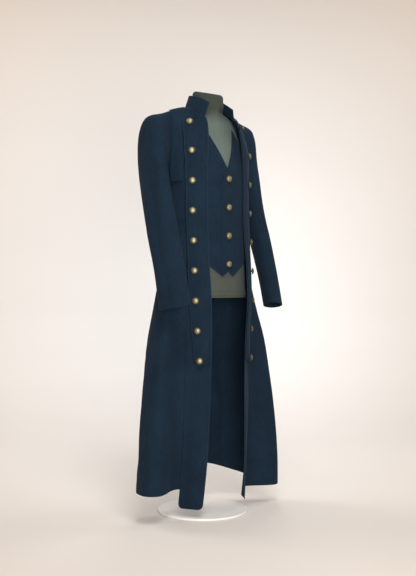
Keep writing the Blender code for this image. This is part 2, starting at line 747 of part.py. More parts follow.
def make_rim():
    """Binding round the foot of the torso."""
    low, high = FORM_SECTIONS[0][0], FORM_SECTIONS[0][0] + RIM_HEIGHT
    bm = bmesh.new()
    loft(bm, [form_ring(z, SEAM + RIM_CLOTH) for z in (low, high)])
    bmesh.ops.recalc_face_normals(bm, faces=bm.faces)
    if sum(face.normal.dot(from_axis(face.calc_center_median())) for face in bm.faces) < 0:
        bmesh.ops.reverse_faces(bm, faces=bm.faces)
    made = add_object("form_rim", bm, finish_material("Form binding", BINDING_COLOUR, CLOTH_ROUGHNESS),
                      FORM_SMOOTH_ANGLE)
    wall = made.modifiers.new("Binding", "SOLIDIFY")
    wall.thickness = RIM_CLOTH
    wall.offset = -1.0
    return made


def waistcoat_ring_y(x, z):
    """Front of the waistcoat over the dress form at a place across."""
    names = ("half_width", "widest_y", "front_y", "power")
    width, widest, front, power = [track(FORM_SECTIONS, FORM_COLUMNS, name, z) for name in names]
    reach = widest - front
    across = min(abs(x) / width, 0.999)
    return widest - reach * (1 - across**power)**(1 / power)


def waistcoat_point(x, z, lift):
    """Point over the form's front, moved out along the form's own normal."""
    step = WAISTCOAT_STEP
    y = waistcoat_ring_y(x, z)
    slope_x = (waistcoat_ring_y(x + step, z) - waistcoat_ring_y(x - step, z)) / (2 * step)
    slope_z = (waistcoat_ring_y(x, z + step) - waistcoat_ring_y(x, z - step)) / (2 * step)
    out = Vector((slope_x, -1.0, slope_z)).normalized()
    return Vector((x, y, z)) + out * lift


def waistcoat_outline(along, side):
    """Hem and top edge heights, and the place across, of a waistcoat front."""
    inner = -WAISTCOAT_OVERLAP if side == "L" else 0.0
    x = lerp(inner, WAISTCOAT_SIDE_X, along)
    if x < WAISTCOAT_TOP_X:
        reach = x / WAISTCOAT_TOP_X
        top = lerp(WAISTCOAT_V_Z, WAISTCOAT_TOP_Z, math.copysign(abs(reach)**WAISTCOAT_V_POWER, reach))
    else:
        reach = (x - WAISTCOAT_TOP_X) / (WAISTCOAT_SIDE_X - WAISTCOAT_TOP_X)
        top = lerp(WAISTCOAT_TOP_Z, WAISTCOAT_SIDE_TOP_Z, reach)
    below = abs(abs(x) - WAISTCOAT_POINT_X)
    if abs(x) < WAISTCOAT_POINT_X:
        hem = lerp(WAISTCOAT_POINT_Z, WAISTCOAT_NOTCH_Z, below / WAISTCOAT_POINT_X)
    else:
        hem = lerp(WAISTCOAT_POINT_Z, WAISTCOAT_SIDE_HEM_Z, below / (WAISTCOAT_SIDE_X - WAISTCOAT_POINT_X))
    return x, hem, top


def make_waistcoat(side):
    """Half of the waistcoat front; the left half laps over the right one."""
    def place(along, up):
        x, hem, top = waistcoat_outline(along, side)
        lift = WAISTCOAT_LIFT
        if side == "L":
            lift += (CLOTH + LAYER) * ease(1.0 - (x + WAISTCOAT_LAP_START) / WAISTCOAT_LAP_WIDTH)
        return mirrored(waistcoat_point(x, lerp(hem, top, up), lift), side)

    return wall_grid(f"waistcoat_{side}", place, WAISTCOAT_COLUMNS, WAISTCOAT_ROWS, CLOTH,
                     forward, wool(f"Wool waistcoat {side}"))


def button_mesh():
    """Domed button on its shank, turned about the axis it is sewn on by."""
    profile = (
        (0.0, BUTTON_SHANK + BUTTON_RIM + BUTTON_DOME),
        (BUTTON_RADIUS * BUTTON_SHOULDER[0], BUTTON_SHANK + BUTTON_RIM + BUTTON_DOME * BUTTON_SHOULDER[1]),
        (BUTTON_RADIUS, BUTTON_SHANK + BUTTON_RIM),
        (BUTTON_RADIUS, BUTTON_SHANK),
        (BUTTON_SHANK_RADIUS, BUTTON_SHANK),
        (BUTTON_SHANK_RADIUS, 0.0),
        (0.0, 0.0),
    )
    bm = bmesh.new()
    verts = [bm.verts.new((radius, 0.0, height)) for radius, height in profile]
    edges = [bm.edges.new(pair) for pair in zip(verts, verts[1:])]
    bmesh.ops.spin(bm, geom=verts + edges, cent=(0, 0, 0), axis=(0, 0, 1), angle=2 * math.pi,
                   steps=BUTTON_SIDES, use_merge=True)
    bmesh.ops.remove_doubles(bm, verts=bm.verts, dist=0.00005)
    bmesh.ops.recalc_face_normals(bm, faces=bm.faces)
    mesh = bpy.data.meshes.new("button")
    bm.to_mesh(mesh)
    bm.free()
    mesh.shade_smooth()
    mesh.set_sharp_from_angle(angle=math.radians(50.0))
    return mesh


def place_button(name, mesh, foot, out):
    made = bpy.data.objects.new(name, mesh)
    made.location = foot + out * SEAM
    made.rotation_mode = "QUATERNION"
    made.rotation_quaternion = out.to_track_quat("Z", "Y")
    PARTS.objects.link(made)
    return made


def make_buttons():
    """Nine buttons down each lapel and four down the waistcoat."""
    brass = finish_material("Antique brass", BRASS_COLOUR, METAL_ROUGHNESS, 0.9)
    mesh = button_mesh()
    mesh.materials.append(brass)
    for side in SIDES:
        heights = spaced(LAPEL_BUTTON_TOP_Z, LAPEL_BUTTON_END_Z, LAPEL_BUTTONS)
        for number, z in enumerate(heights, 1):
            across = LAPEL_BUTTON_ACROSS
            foot = lapel_point(side, across, z)
            beside = lapel_point(side, across + BUTTON_TURN_ACROSS, z)
            above = lapel_point(side, across, min(z + BUTTON_TURN_UP, LAPEL_TOP_Z))
            out = (beside - foot).cross(above - foot).normalized()
            if out.y > 0:
                out.negate()
            place_button(f"button_{side}{number}", mesh, foot, out)
    for number in range(WAISTCOAT_BUTTONS):
        z = WAISTCOAT_BUTTON_TOP_Z - number * WAISTCOAT_BUTTON_PITCH
        foot = waistcoat_point(0.0, z, WAISTCOAT_LIFT + CLOTH + LAYER)
        place_button(f"waistcoat_button_{number + 1}", mesh, foot, forward(foot))


def make_stand():
    """Slim pole on a thin round base."""
    pole_metal = finish_material("Stand metal", STAND_COLOUR, METAL_ROUGHNESS, 0.3)
    top = FORM_SECTIONS[0][0] - SEAM
    bm = bmesh.new()
    bmesh.ops.create_cone(bm, cap_ends=True, segments=POLE_SIDES, radius1=POLE_RADIUS, radius2=POLE_RADIUS,
                          depth=top - BASE_HEIGHT - SEAM)
    middle = (top + BASE_HEIGHT + SEAM) / 2
    bmesh.ops.translate(bm, verts=bm.verts, vec=(0.0, POLE_Y, middle))
    add_object("stand_pole", bm, pole_metal)
    bm = bmesh.new()
    bmesh.ops.create_cone(bm, cap_ends=True, segments=BASE_SIDES, radius1=BASE_RADIUS, radius2=BASE_RADIUS,
                          depth=BASE_HEIGHT)
    bmesh.ops.translate(bm, verts=bm.verts, vec=(0.0, 0.0, BASE_HEIGHT / 2))
    base = add_object("stand_base", bm, finish_material("Base metal", STAND_COLOUR, METAL_ROUGHNESS, 0.3))
    edge = base.modifiers.new("Edge", "BEVEL")
    edge.width = BASE_BEVEL
    edge.segments = 2
    edge.limit_method = "ANGLE"


def build():
    for side in SIDES:
        make_band(side)
        make_front(side)
        make_back(side)
        make_lapel(side)
        make_flap(side)
        make_sleeve(side, "sleeve_top", -SLEEVE_SEAM, SLEEVE_SEAM)
        make_sleeve(side, "sleeve_under", SLEEVE_SEAM, 360.0 - SLEEVE_SEAM)
        make_waistcoat(side)
    make_collar()
    make_buttons()
    make_form()
    make_rim()
    make_stand()


for old in list(bpy.data.objects):
    bpy.data.objects.remove(old, do_unlink=True)
PARTS = collection("long_coat")
build()
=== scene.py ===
"""Looks of the open long coat: navy wool cut pieces, antique brass buttons, a dress form and its stand.

Metres, +Z up, the wearer faces -Y. Each cut piece of cloth is laid over the frame by the same
sections that its solid has, with its soft folds, turned edges and stitching added.
"""
import math
from functools import lru_cache

import bmesh
import bpy
import numpy as np
from mathutils import Matrix, Vector


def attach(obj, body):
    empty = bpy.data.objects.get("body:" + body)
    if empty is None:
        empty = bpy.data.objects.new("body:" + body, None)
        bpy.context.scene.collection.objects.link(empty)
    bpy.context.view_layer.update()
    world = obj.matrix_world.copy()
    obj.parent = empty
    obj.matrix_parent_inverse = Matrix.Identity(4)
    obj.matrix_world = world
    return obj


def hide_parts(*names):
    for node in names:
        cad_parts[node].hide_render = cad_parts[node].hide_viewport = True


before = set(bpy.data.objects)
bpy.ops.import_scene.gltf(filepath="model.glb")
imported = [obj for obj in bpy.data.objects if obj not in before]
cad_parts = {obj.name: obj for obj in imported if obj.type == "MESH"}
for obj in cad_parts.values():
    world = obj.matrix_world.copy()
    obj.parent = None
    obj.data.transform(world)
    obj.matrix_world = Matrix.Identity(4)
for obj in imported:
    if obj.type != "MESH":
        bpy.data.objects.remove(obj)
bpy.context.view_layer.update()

# Wool cloth of the coat
# A dull, napped wool twill in dark navy, fulled until the ribs hardly show. The nap catches a little light at
# grazing angles. The turned edges are painted paler, partly rubbed wear and partly a painted highlight on the
# rolled edge.
WOOL_SHADE = (0.0036, 0.0082, 0.0150, 1.0)
WOOL_FACE = (0.0070, 0.0160, 0.0280, 1.0)
# Paler colour of the stitched edges: partly rubbed wear, partly a painted highlight on the rolled edge.
WOOL_WORN_AND_LIT_EDGE = (0.0110, 0.0240, 0.0410, 1.0)
WOOL_ROUGHNESS = 0.86
CLOTH_SHEEN = 0.03
SHEEN_TINT = (0.55, 0.70, 1.0, 1.0)
CLOTH_SPECULAR = 0.06
CLOTH_BUMP = 0.7
TWILL_PITCH = 0.0014
TWILL_HEIGHT = 0.00012
NAP_HEIGHT = 0.00025
FIBRE_SCALE = 1400.0
FLECK_SCALE = 160.0
CLOUD_SCALE = 9.0


def socket(tree, name, direction, kind, value=None):
    made = tree.interface.new_socket(name=name, in_out=direction, socket_type=kind)
    if value is not None:
        made.default_value = value


def math_node(tree, operation, first, second=None):
    """A Math node fed by sockets or numbers; returns its output."""
    node = tree.nodes.new("ShaderNodeMath")
    node.operation = operation
    for slot, value in enumerate((first, second)):
        if value is None:
            continue
        if isinstance(value, (int, float)):
            node.inputs[slot].default_value = value
        else:
            tree.links.new(value, node.inputs[slot])
    return node.outputs[0]


def mix_colour(tree, factor, first, second):
    """A colour Mix node; each colour is a socket or a value."""
    node = tree.nodes.new("ShaderNodeMix")
    node.data_type = "RGBA"
    tree.links.new(factor, node.inputs["Factor"])
    for slot, value in ((6, first), (7, second)):
        if isinstance(value, tuple):
            node.inputs[slot].default_value = value
        else:
            tree.links.new(value, node.inputs[slot])
    return node.outputs[2]


def shader_material(name, roughness, specular=0.5):
    """A material with nodes; returns it with its tree, its Principled shader and its object coordinates."""
    material = bpy.data.materials.new(name)
    material.use_nodes = True
    tree = material.node_tree
    shader = tree.nodes["Principled BSDF"]
    shader.inputs["Roughness"].default_value = roughness
    shader.inputs["Specular IOR Level"].default_value = specular
    place = tree.nodes.new("ShaderNodeTexCoord")
    return material, tree, shader, place


def range_node(tree, value, low, high, start=0.0, end=1.0):
    """A Map Range node from low..high to start..end; returns its output."""
    node = tree.nodes.new("ShaderNodeMapRange")
    for name, number in (("From Min", low), ("From Max", high), ("To Min", start), ("To Max", end)):
        node.inputs[name].default_value = number
    tree.links.new(value, node.inputs["Value"])
    return node.outputs["Result"]


def bump_node(tree, value, strength, distance):
    """A Bump node fed by a height; returns the node, whose own Normal input is still free."""
    node = tree.nodes.new("ShaderNodeBump")
    node.inputs["Strength"].default_value = strength
    node.inputs["Distance"].default_value = distance
    tree.links.new(value, node.inputs["Height"])
    return node


def noise(tree, vector, scale, detail, roughness=0.55):
    node = tree.nodes.new("ShaderNodeTexNoise")
    node.inputs["Scale"].default_value = scale
    node.inputs["Detail"].default_value = detail
    node.inputs["Roughness"].default_value = roughness
    tree.links.new(vector, node.inputs["Vector"])
    return node.outputs["Fac"]


# The twill: diagonal ribs on the flat map of a cut piece, with the thread crossing under each
twill = bpy.data.node_groups.new("Twill ribs", "ShaderNodeTree")
socket(twill, "Flat place", "INPUT", "NodeSocketVector")
socket(twill, "Pitch", "INPUT", "NodeSocketFloat", TWILL_PITCH)
socket(twill, "Steepness", "INPUT", "NodeSocketFloat", 1.0)
socket(twill, "Rib height", "OUTPUT", "NodeSocketFloat")
twill_in = twill.nodes.new("NodeGroupInput")
twill_out = twill.nodes.new("NodeGroupOutput")
flat_parts = twill.nodes.new("ShaderNodeSeparateXYZ")
twill.links.new(twill_in.outputs["Flat place"], flat_parts.inputs[0])
leaning = math_node(twill, "MULTIPLY", flat_parts.outputs["X"], twill_in.outputs["Steepness"])
diagonal = math_node(twill, "ADD", leaning, flat_parts.outputs["Y"])
turns = math_node(twill, "DIVIDE", diagonal, twill_in.outputs["Pitch"])
ribs = math_node(twill, "SINE", math_node(twill, "MULTIPLY", turns, 2 * math.pi))
crossings = math_node(twill, "DIVIDE", flat_parts.outputs["Y"], twill_in.outputs["Pitch"])
picks = math_node(twill, "SINE", math_node(twill, "MULTIPLY", crossings, 5.0 * math.pi))
height = math_node(twill, "ADD", math_node(twill, "MULTIPLY", ribs, 0.35),
                   math_node(twill, "MULTIPLY", picks, 0.15))
twill.links.new(math_node(twill, "ADD", height, 0.5), twill_out.inputs["Rib height"])

# The nap: short raised fibres and the slow clouding that brushing and wear leave in them
nap = bpy.data.node_groups.new("Brushed nap", "ShaderNodeTree")
socket(nap, "Place", "INPUT", "NodeSocketVector")
socket(nap, "Fibres", "OUTPUT", "NodeSocketFloat")
socket(nap, "Clouding", "OUTPUT", "NodeSocketFloat")
nap_in = nap.nodes.new("NodeGroupInput")
nap_out = nap.nodes.new("NodeGroupOutput")
stretched = nap.nodes.new("ShaderNodeMapping")
stretched.inputs["Scale"].default_value = (1.0, 1.0, 0.35)
nap.links.new(nap_in.outputs["Place"], stretched.inputs["Vector"])
nap.links.new(noise(nap, stretched.outputs[0], FIBRE_SCALE, 3.0, 0.7), nap_out.inputs["Fibres"])
broad = noise(nap, nap_in.outputs["Place"], CLOUD_SCALE, 3.0)
fine = noise(nap, stretched.outputs[0], FLECK_SCALE, 2.0)
clouded = math_node(nap, "ADD", math_node(nap, "MULTIPLY", broad, 0.6), math_node(nap, "MULTIPLY", fine, 0.4))
nap.links.new(clouded, nap_out.inputs["Clouding"])


def cloth_material(name, shade, face, edge, roughness, sheen, pitch, rib_height, nap_height):
    """Woven cloth with a nap, from the piece's flat map and its rim attribute."""
    material, tree, shader, place = shader_material(name, roughness, CLOTH_SPECULAR)
    ribs_group = tree.nodes.new("ShaderNodeGroup")
    ribs_group.node_tree = twill
    ribs_group.inputs["Pitch"].default_value = pitch
    tree.links.new(place.outputs["UV"], ribs_group.inputs["Flat place"])
    nap_group = tree.nodes.new("ShaderNodeGroup")
    nap_group.node_tree = nap
    tree.links.new(place.outputs["Object"], nap_group.inputs["Place"])
    rim = tree.nodes.new("ShaderNodeAttribute")
    rim.attribute_name = "rim"
    clouds = range_node(tree, nap_group.outputs["Clouding"], 0.32, 0.68)
    worn = math_node(tree, "MULTIPLY", rim.outputs["Fac"], nap_group.outputs["Fibres"])
    body = mix_colour(tree, clouds, shade, face)
    ribbed = mix_colour(tree, math_node(tree, "MULTIPLY", ribs_group.outputs["Rib height"], 0.30), body, face)
    # Stitched rims mix toward the paler edge colour: partly rubbed wear, partly a painted highlight on the
    # rolled edge.
    tree.links.new(mix_colour(tree, worn, ribbed, edge), shader.inputs["Base Color"])
    low = bump_node(tree, ribs_group.outputs["Rib height"], CLOTH_BUMP, rib_height)
    high = bump_node(tree, nap_group.outputs["Fibres"], CLOTH_BUMP, nap_height)
    tree.links.new(low.outputs["Normal"], high.inputs["Normal"])
    tree.links.new(high.outputs["Normal"], shader.inputs["Normal"])
    shader.inputs["Sheen Weight"].default_value = sheen
    shader.inputs["Sheen Roughness"].default_value = 0.45
    shader.inputs["Sheen Tint"].default_value = SHEEN_TINT
    return material


wool = cloth_material("Navy wool", WOOL_SHADE, WOOL_FACE, WOOL_WORN_AND_LIT_EDGE, WOOL_ROUGHNESS, CLOTH_SHEEN, TWILL_PITCH,
                      TWILL_HEIGHT, NAP_HEIGHT)

# The coat's shape
# The coat is cut from flat pieces and hangs open on the form, so its body is known by the height
# of a row and the way round it. These are the sections that the solids have, and the points, seams
# and armholes that every cut piece below is laid along.
CLOTH = 0.002
LAPEL_CLOTH = 0.003
COLLAR_CLOTH = 0.003
SEAM = 0.0003
SEAM_GAP = 0.00004
LAYER = 0.0008
HEM_Z = {"R": 0.098, "L": 0.066}
BACK_HEM_Z = 0.150
LOWEST_HEM_Z = 0.066
BAND_HEM_Z = {"R": 0.035, "L": 0.041}
BAND_CORNER = 0.016
BAND_CORNER_SHARE = 0.36
BAND_WIDTH = 0.083
ARMPIT_Z = 1.120
SHOULDER_POWER = 0.75
SECTION_COLUMNS = ("z", "edge_x", "edge_y", "half_width", "widest_y", "back_y", "power")
SECTIONS = (
    (0.035, 0.0885, -0.1060, 0.289, -0.050, 0.100, 2.30),
    (0.183, 0.0800, -0.1190, 0.282, -0.048, 0.098, 2.30),
    (0.323, 0.0750, -0.1256, 0.268, -0.045, 0.098, 2.30),
    (0.450, 0.0728, -0.1290, 0.249, -0.042, 0.103, 2.30),
    (0.578, 0.0722, -0.1340, 0.225, -0.038, 0.104, 2.30),
    (0.705, 0.0775, -0.1380, 0.191, -0.030, 0.108, 2.15),
    (0.817, 0.0795, -0.1300, 0.166, -0.018, 0.100, 2.02),
    (0.896, 0.0777, -0.1230, 0.152, -0.010, 0.090, 2.00),
    (0.976, 0.0755, -0.1180, 0.150, -0.005, 0.093, 2.00),
    (1.050, 0.0752, -0.1174, 0.153, -0.002, 0.104, 2.05),
    (1.120, 0.0752, -0.1172, 0.160, 0.000, 0.112, 2.10),
)
NECK_COLUMNS = ("along", "x", "y", "z")
NECK_SEAM = (
    (0.00, 0.0655, -0.0865, 1.2912),
    (0.25, 0.0735, -0.0480, 1.3130),
    (0.50, 0.0710, -0.0080, 1.3320),
    (0.75, 0.0480, 0.0320, 1.3410),
    (1.00, 0.0000, 0.0460, 1.3430),
)
NECK_POINT = 0.5
NECK_SHARE = {"front": 0.42, "back": 0.40}
SECTION_POINTS = 80
SLOPE_STEP = 0.004
BODY_AXIS_Y = -0.02
SHOULDER_TIP = (0.180, 0.005, 1.299)
SHOULDER_RISE = 0.004
ARMHOLE_DEPTH = {"front": 0.15, "back": 0.12}
ARMHOLE_TOP_DROP = 0.05
FOLD_COLUMNS = ("z", "from_edge", "depth", "sharpness")
FRONT_FOLD = (
    (0.035, 0.058, 0.064, 0.0),
    (0.180, 0.068, 0.054, 0.0),
    (0.340, 0.076, 0.046, 0.2),
    (0.460, 0.078, 0.042, 0.8),
    (0.610, 0.075, 0.042, 1.0),
    (0.705, 0.070, 0.036, 1.0),
    (0.800, 0.066, 0.022, 1.0),
    (0.896, 0.060, 0.005, 1.0),
    (0.950, 0.060, 0.000, 1.0),
)
FOLD_OUTER_WIDTH = 0.110
FLUTES = {
    "front": ((0.84, 0.15, -0.006, 0.55),),
    "back": (
        (0.20, 0.17, 0.016, 0.70),
        (0.46, 0.17, -0.014, 0.62),
        (0.74, 0.16, 0.012, 0.60),
    ),
}
TOP_SEAM_SHARE = 0.0008
TURNED_STATIONS = (0.0015, 0.0035, 0.0050, 0.0065, 0.0085)
CLOSEST_STATIONS = 0.0009
SIDES = {"R": -1.0, "L": 1.0}


def lerp(start, end, amount):
    return start + (end - start) * amount


def ease(amount):
    amount = min(max(amount, 0.0), 1.0)
    return amount * amount * (3.0 - 2.0 * amount)


def track(table, columns, name, station):
    """Value of a named column between the rows of a table, on a smooth curve."""
    keys = [row[0] for row in table]
    values = [row[columns.index(name)] for row in table]
    if station <= keys[0]:
        return values[0]
    if station >= keys[-1]:
        return values[-1]
    at = max(i for i in range(len(keys) - 1) if keys[i] <= station)
    step = keys[at + 1] - keys[at]
    slopes = []
    for i in (at, at + 1):
        before, after = max(i - 1, 0), min(i + 1, len(keys) - 1)
        slopes.append((values[after] - values[before]) / (keys[after] - keys[before]))
    t = (station - keys[at]) / step
    blend = (2 * t**3 - 3 * t**2 + 1, t**3 - 2 * t**2 + t, 3 * t**2 - 2 * t**3, t**3 - t**2)
    return (blend[0] * values[at] + blend[1] * step * slopes[0]
            + blend[2] * values[at + 1] + blend[3] * step * slopes[1])


def section(name, z):
    return track(SECTIONS, SECTION_COLUMNS, name, z)


@lru_cache(maxsize=None)
def half_section(part, z):
    """Outline of the front or back half section at a height, from its inner end to the side."""
    width, widest = section("half_width", z), section("widest_y", z)
    power = section("power", z)
    if part == "front":
        inner = section("edge_x", z)
        reach = (section("edge_y", z) - widest) / (1 - (inner / width)**power)**(1 / power)
    else:
        inner = 0.0
        reach = section("back_y", z) - widest
    start = math.asin((inner / width)**(power / 2))
    angles = np.linspace(start, math.pi / 2, SECTION_POINTS)
    xs = width * np.sin(angles)**(2 / power)
    ys = widest + reach * np.abs(np.cos(angles))**(2 / power)
    if part == "front":
        unfolded = walk(xs, ys)
        ys = ys + [fold_shift(distance, z, unfolded[-1]) for distance in unfolded]
    return xs, ys, walk(xs, ys)


def walk(xs, ys):
    """Distance along an outline at each of its points."""
    return np.concatenate(([0.0], np.cumsum(np.hypot(np.diff(xs), np.diff(ys)))))


def section_length(part, z):
    return half_section(part, z)[2][-1]


def fold_shift(distance, z, length):
    """How far the fold beside the front band draws the cloth in."""
    centre = track(FRONT_FOLD, FOLD_COLUMNS, "from_edge", z)
    depth = track(FRONT_FOLD, FOLD_COLUMNS, "depth", z)
    if distance < centre:
        share = distance / centre
        soft = 0.5 * (1 - math.cos(math.pi * share))
        sharp = math.sin(math.pi / 2 * share)
        return depth * lerp(soft, sharp, track(FRONT_FOLD, FOLD_COLUMNS, "sharpness", z))
    share = (distance - centre) / min(FOLD_OUTER_WIDTH, length - centre)
    return depth * 0.5 * (1 + math.cos(math.pi * min(share, 1.0)))


def flute_shift(part, c, z):
    """How far the soft flutes of the skirt draw the cloth in."""
    total = 0.0
    for centre, half_width, depth, top_z in FLUTES[part]:
        offset = (c - centre) / half_width
        if abs(offset) < 1 and z < top_z:
            fall = ease((top_z - z) / (top_z - LOWEST_HEM_Z))
            total += depth * fall * 0.5 * (1 + math.cos(math.pi * offset))
    return total


def skirt_point(part, c, z):
    """Point of the coat below the armpit, c running from the inner end to the side seam."""
    xs, ys, lengths = half_section(part, z)
    distance = c * lengths[-1]
    x = float(np.interp(distance, lengths, xs))
    y = float(np.interp(distance, lengths, ys))
    ahead = min(distance + SLOPE_STEP, lengths[-1])
    behind = max(distance - SLOPE_STEP, 0.0)
    along_x = float(np.interp(ahead, lengths, xs) - np.interp(behind, lengths, xs))
    along_y = float(np.interp(ahead, lengths, ys) - np.interp(behind, lengths, ys))
    length = math.hypot(along_x, along_y)
    inward = 1.0 if part == "front" else -1.0
    flute = flute_shift(part, c, z)
    x -= flute * abs(along_y) / length
    y += inward * flute * abs(along_x) / length
    return Vector((x, y, z))


def neck_point(along):
    return Vector([track(NECK_SEAM, NECK_COLUMNS, axis, along) for axis in "xyz"])


def shoulder_point(along):
    start, end = neck_point(NECK_POINT), Vector(SHOULDER_TIP)
    point = start.lerp(end, along)
    point.z += SHOULDER_RISE * math.sin(math.pi * along)
    return point


def top_point(part, c):
    """Top edge of a front or a back: first the neck seam, then the shoulder seam."""
    neck_share = NECK_SHARE[part]
    if c < neck_share:
        reach = c / neck_share
        along = NECK_POINT * reach if part == "front" else 1.0 - (1.0 - NECK_POINT) * reach
        return neck_point(along)
    return shoulder_point((c - neck_share) / (1.0 - neck_share))


def coat_point(part, c, s, hem_z):
    """Point of the coat: s is -1 at the hem, 0 at the armpit and 1 at the neck and shoulder."""
    if s <= 0:
        return skirt_point(part, c, lerp(ARMPIT_Z, hem_z, -s))
    low, top = skirt_point(part, c, ARMPIT_Z), top_point(part, c)
    angle = s * math.pi / 2
    rise = math.sin(angle)**SHOULDER_POWER
    depth = max(math.cos(angle), 0.0)**SHOULDER_POWER
    return Vector((lerp(low.x, top.x, rise), lerp(top.y, low.y, depth), lerp(low.z, top.z, rise)))


def armhole_c(part, s):
    """Where the armhole cuts a front or a back above the armpit."""
    if s <= 0:
        return 1.0
    return 1.0 - ARMHOLE_DEPTH[part] * math.sqrt(max(4 * s * (1 - s), 0.0)) - ARMHOLE_TOP_DROP * s


def back_hem(side, c):
    """Height of the back hem, from the middle of the back to the side seam."""
    return lerp(BACK_HEM_Z, HEM_Z[side], ease(c))


def from_axis(point):
    """Level direction from the middle of the body to a point."""
    return Vector((point.x, point.y - BODY_AXIS_Y, 0.0))


def mirrored(point, side):
    return Vector((point.x * SIDES[side], point.y, point.z))


def spaced(start, end, count):
    return [lerp(start, end, i / (count - 1)) for i in range(count)]


def coat_height(side, s):
    """Height of a row of the front and the band below the armpit, and the armpit above it."""
    return lerp(ARMPIT_Z, HEM_Z[side], min(max(-s, 0.0), 1.0))


def band_share(side, s):
    """Share of the front taken by the band, whose width is constant."""
    return BAND_WIDTH / section_length("front", coat_height(side, s))


def seam_share(part, side, s):
    """Half the gap left at a seam, as a share of a row."""
    return 0.5 * SEAM_GAP / section_length(part, coat_height(side, s))


def band_hem_z(side, across):
    """The band's lower corners are rounded."""
    corner = max(abs(across - 0.5) * 2 - 1 + BAND_CORNER_SHARE, 0.0) / BAND_CORNER_SHARE
    return BAND_HEM_Z[side] + BAND_CORNER * (1 - math.sqrt(max(1 - corner * corner, 0.0)))


def stations(start, end, length, step, turned=False):
    """Stations between two values over a length in metres, closer together near turned ends."""
    count = max(round(length / step), 2)
    inner = [i / count for i in range(count + 1)]
    for distance in TURNED_STATIONS if turned else ():
        inner += [distance / length, 1 - distance / length]
    kept = []
    for share in sorted(inner):
        if not kept or (share - kept[-1]) * length > CLOSEST_STATIONS:
            kept.append(share)
    kept[-1] = 1.0
    return [lerp(start, end, share) for share in kept]


# Folds of a cut piece
# Wool of this weight falls in long soft folds with rounded crests, and creases where it is pulled.
# A fold is a line on the flat piece, in metres from its lower inner corner, with the half width
# and height of its crest. It dies out toward a seam, so that two pieces meet there.
SEAM_FADE = 0.030
FOLD_PAST_END = 0.12
FOLD_FADE_POWER = 0.8
FOLD_SWAY = 0.30
FOLD_SWAY_TURN = 6.0
FOLD_SWAY_START = 50.0
PUFF = 0.0005
PUFF_WIDTH = 0.0035
GROOVE = 0.0004
GROOVE_WIDTH = 0.0014
RUBBED_AND_LIT_WIDTH = 0.0025
EDGE_ROUND = 0.28


def fold_height(x, y, folds):
    """Height that the folds add at a flat place on a piece."""
    total = 0.0
    for x0, y0, x1, y1, half_width, height in folds:
        run, rise = x1 - x0, y1 - y0
        length = math.hypot(run, rise)
        along = ((x - x0) * run + (y - y0) * rise) / length**2
        if not -FOLD_PAST_END < along < 1 + FOLD_PAST_END:
            continue
        fade = math.sin(math.pi * (along + FOLD_PAST_END) / (1 + 2 * FOLD_PAST_END))**FOLD_FADE_POWER
        sway = FOLD_SWAY * half_width * math.sin(FOLD_SWAY_TURN * along + FOLD_SWAY_START * (x0 + y0))
        away = (((x - x0) * rise - (y - y0) * run) / length + sway) / (half_width * (0.7 + 0.3 * fade))
        if abs(away) < 1:
            total += height * fade * (0.5 + 0.5 * math.cos(math.pi * away))
    return total


def edge_height(distance, row):
    """Puff of a turned edge, and the groove that a row of stitching presses beside it."""
    puff = PUFF * math.exp(-(distance / PUFF_WIDTH)**2)
    return puff - GROOVE * math.exp(-((distance - row) / GROOVE_WIDTH)**2)


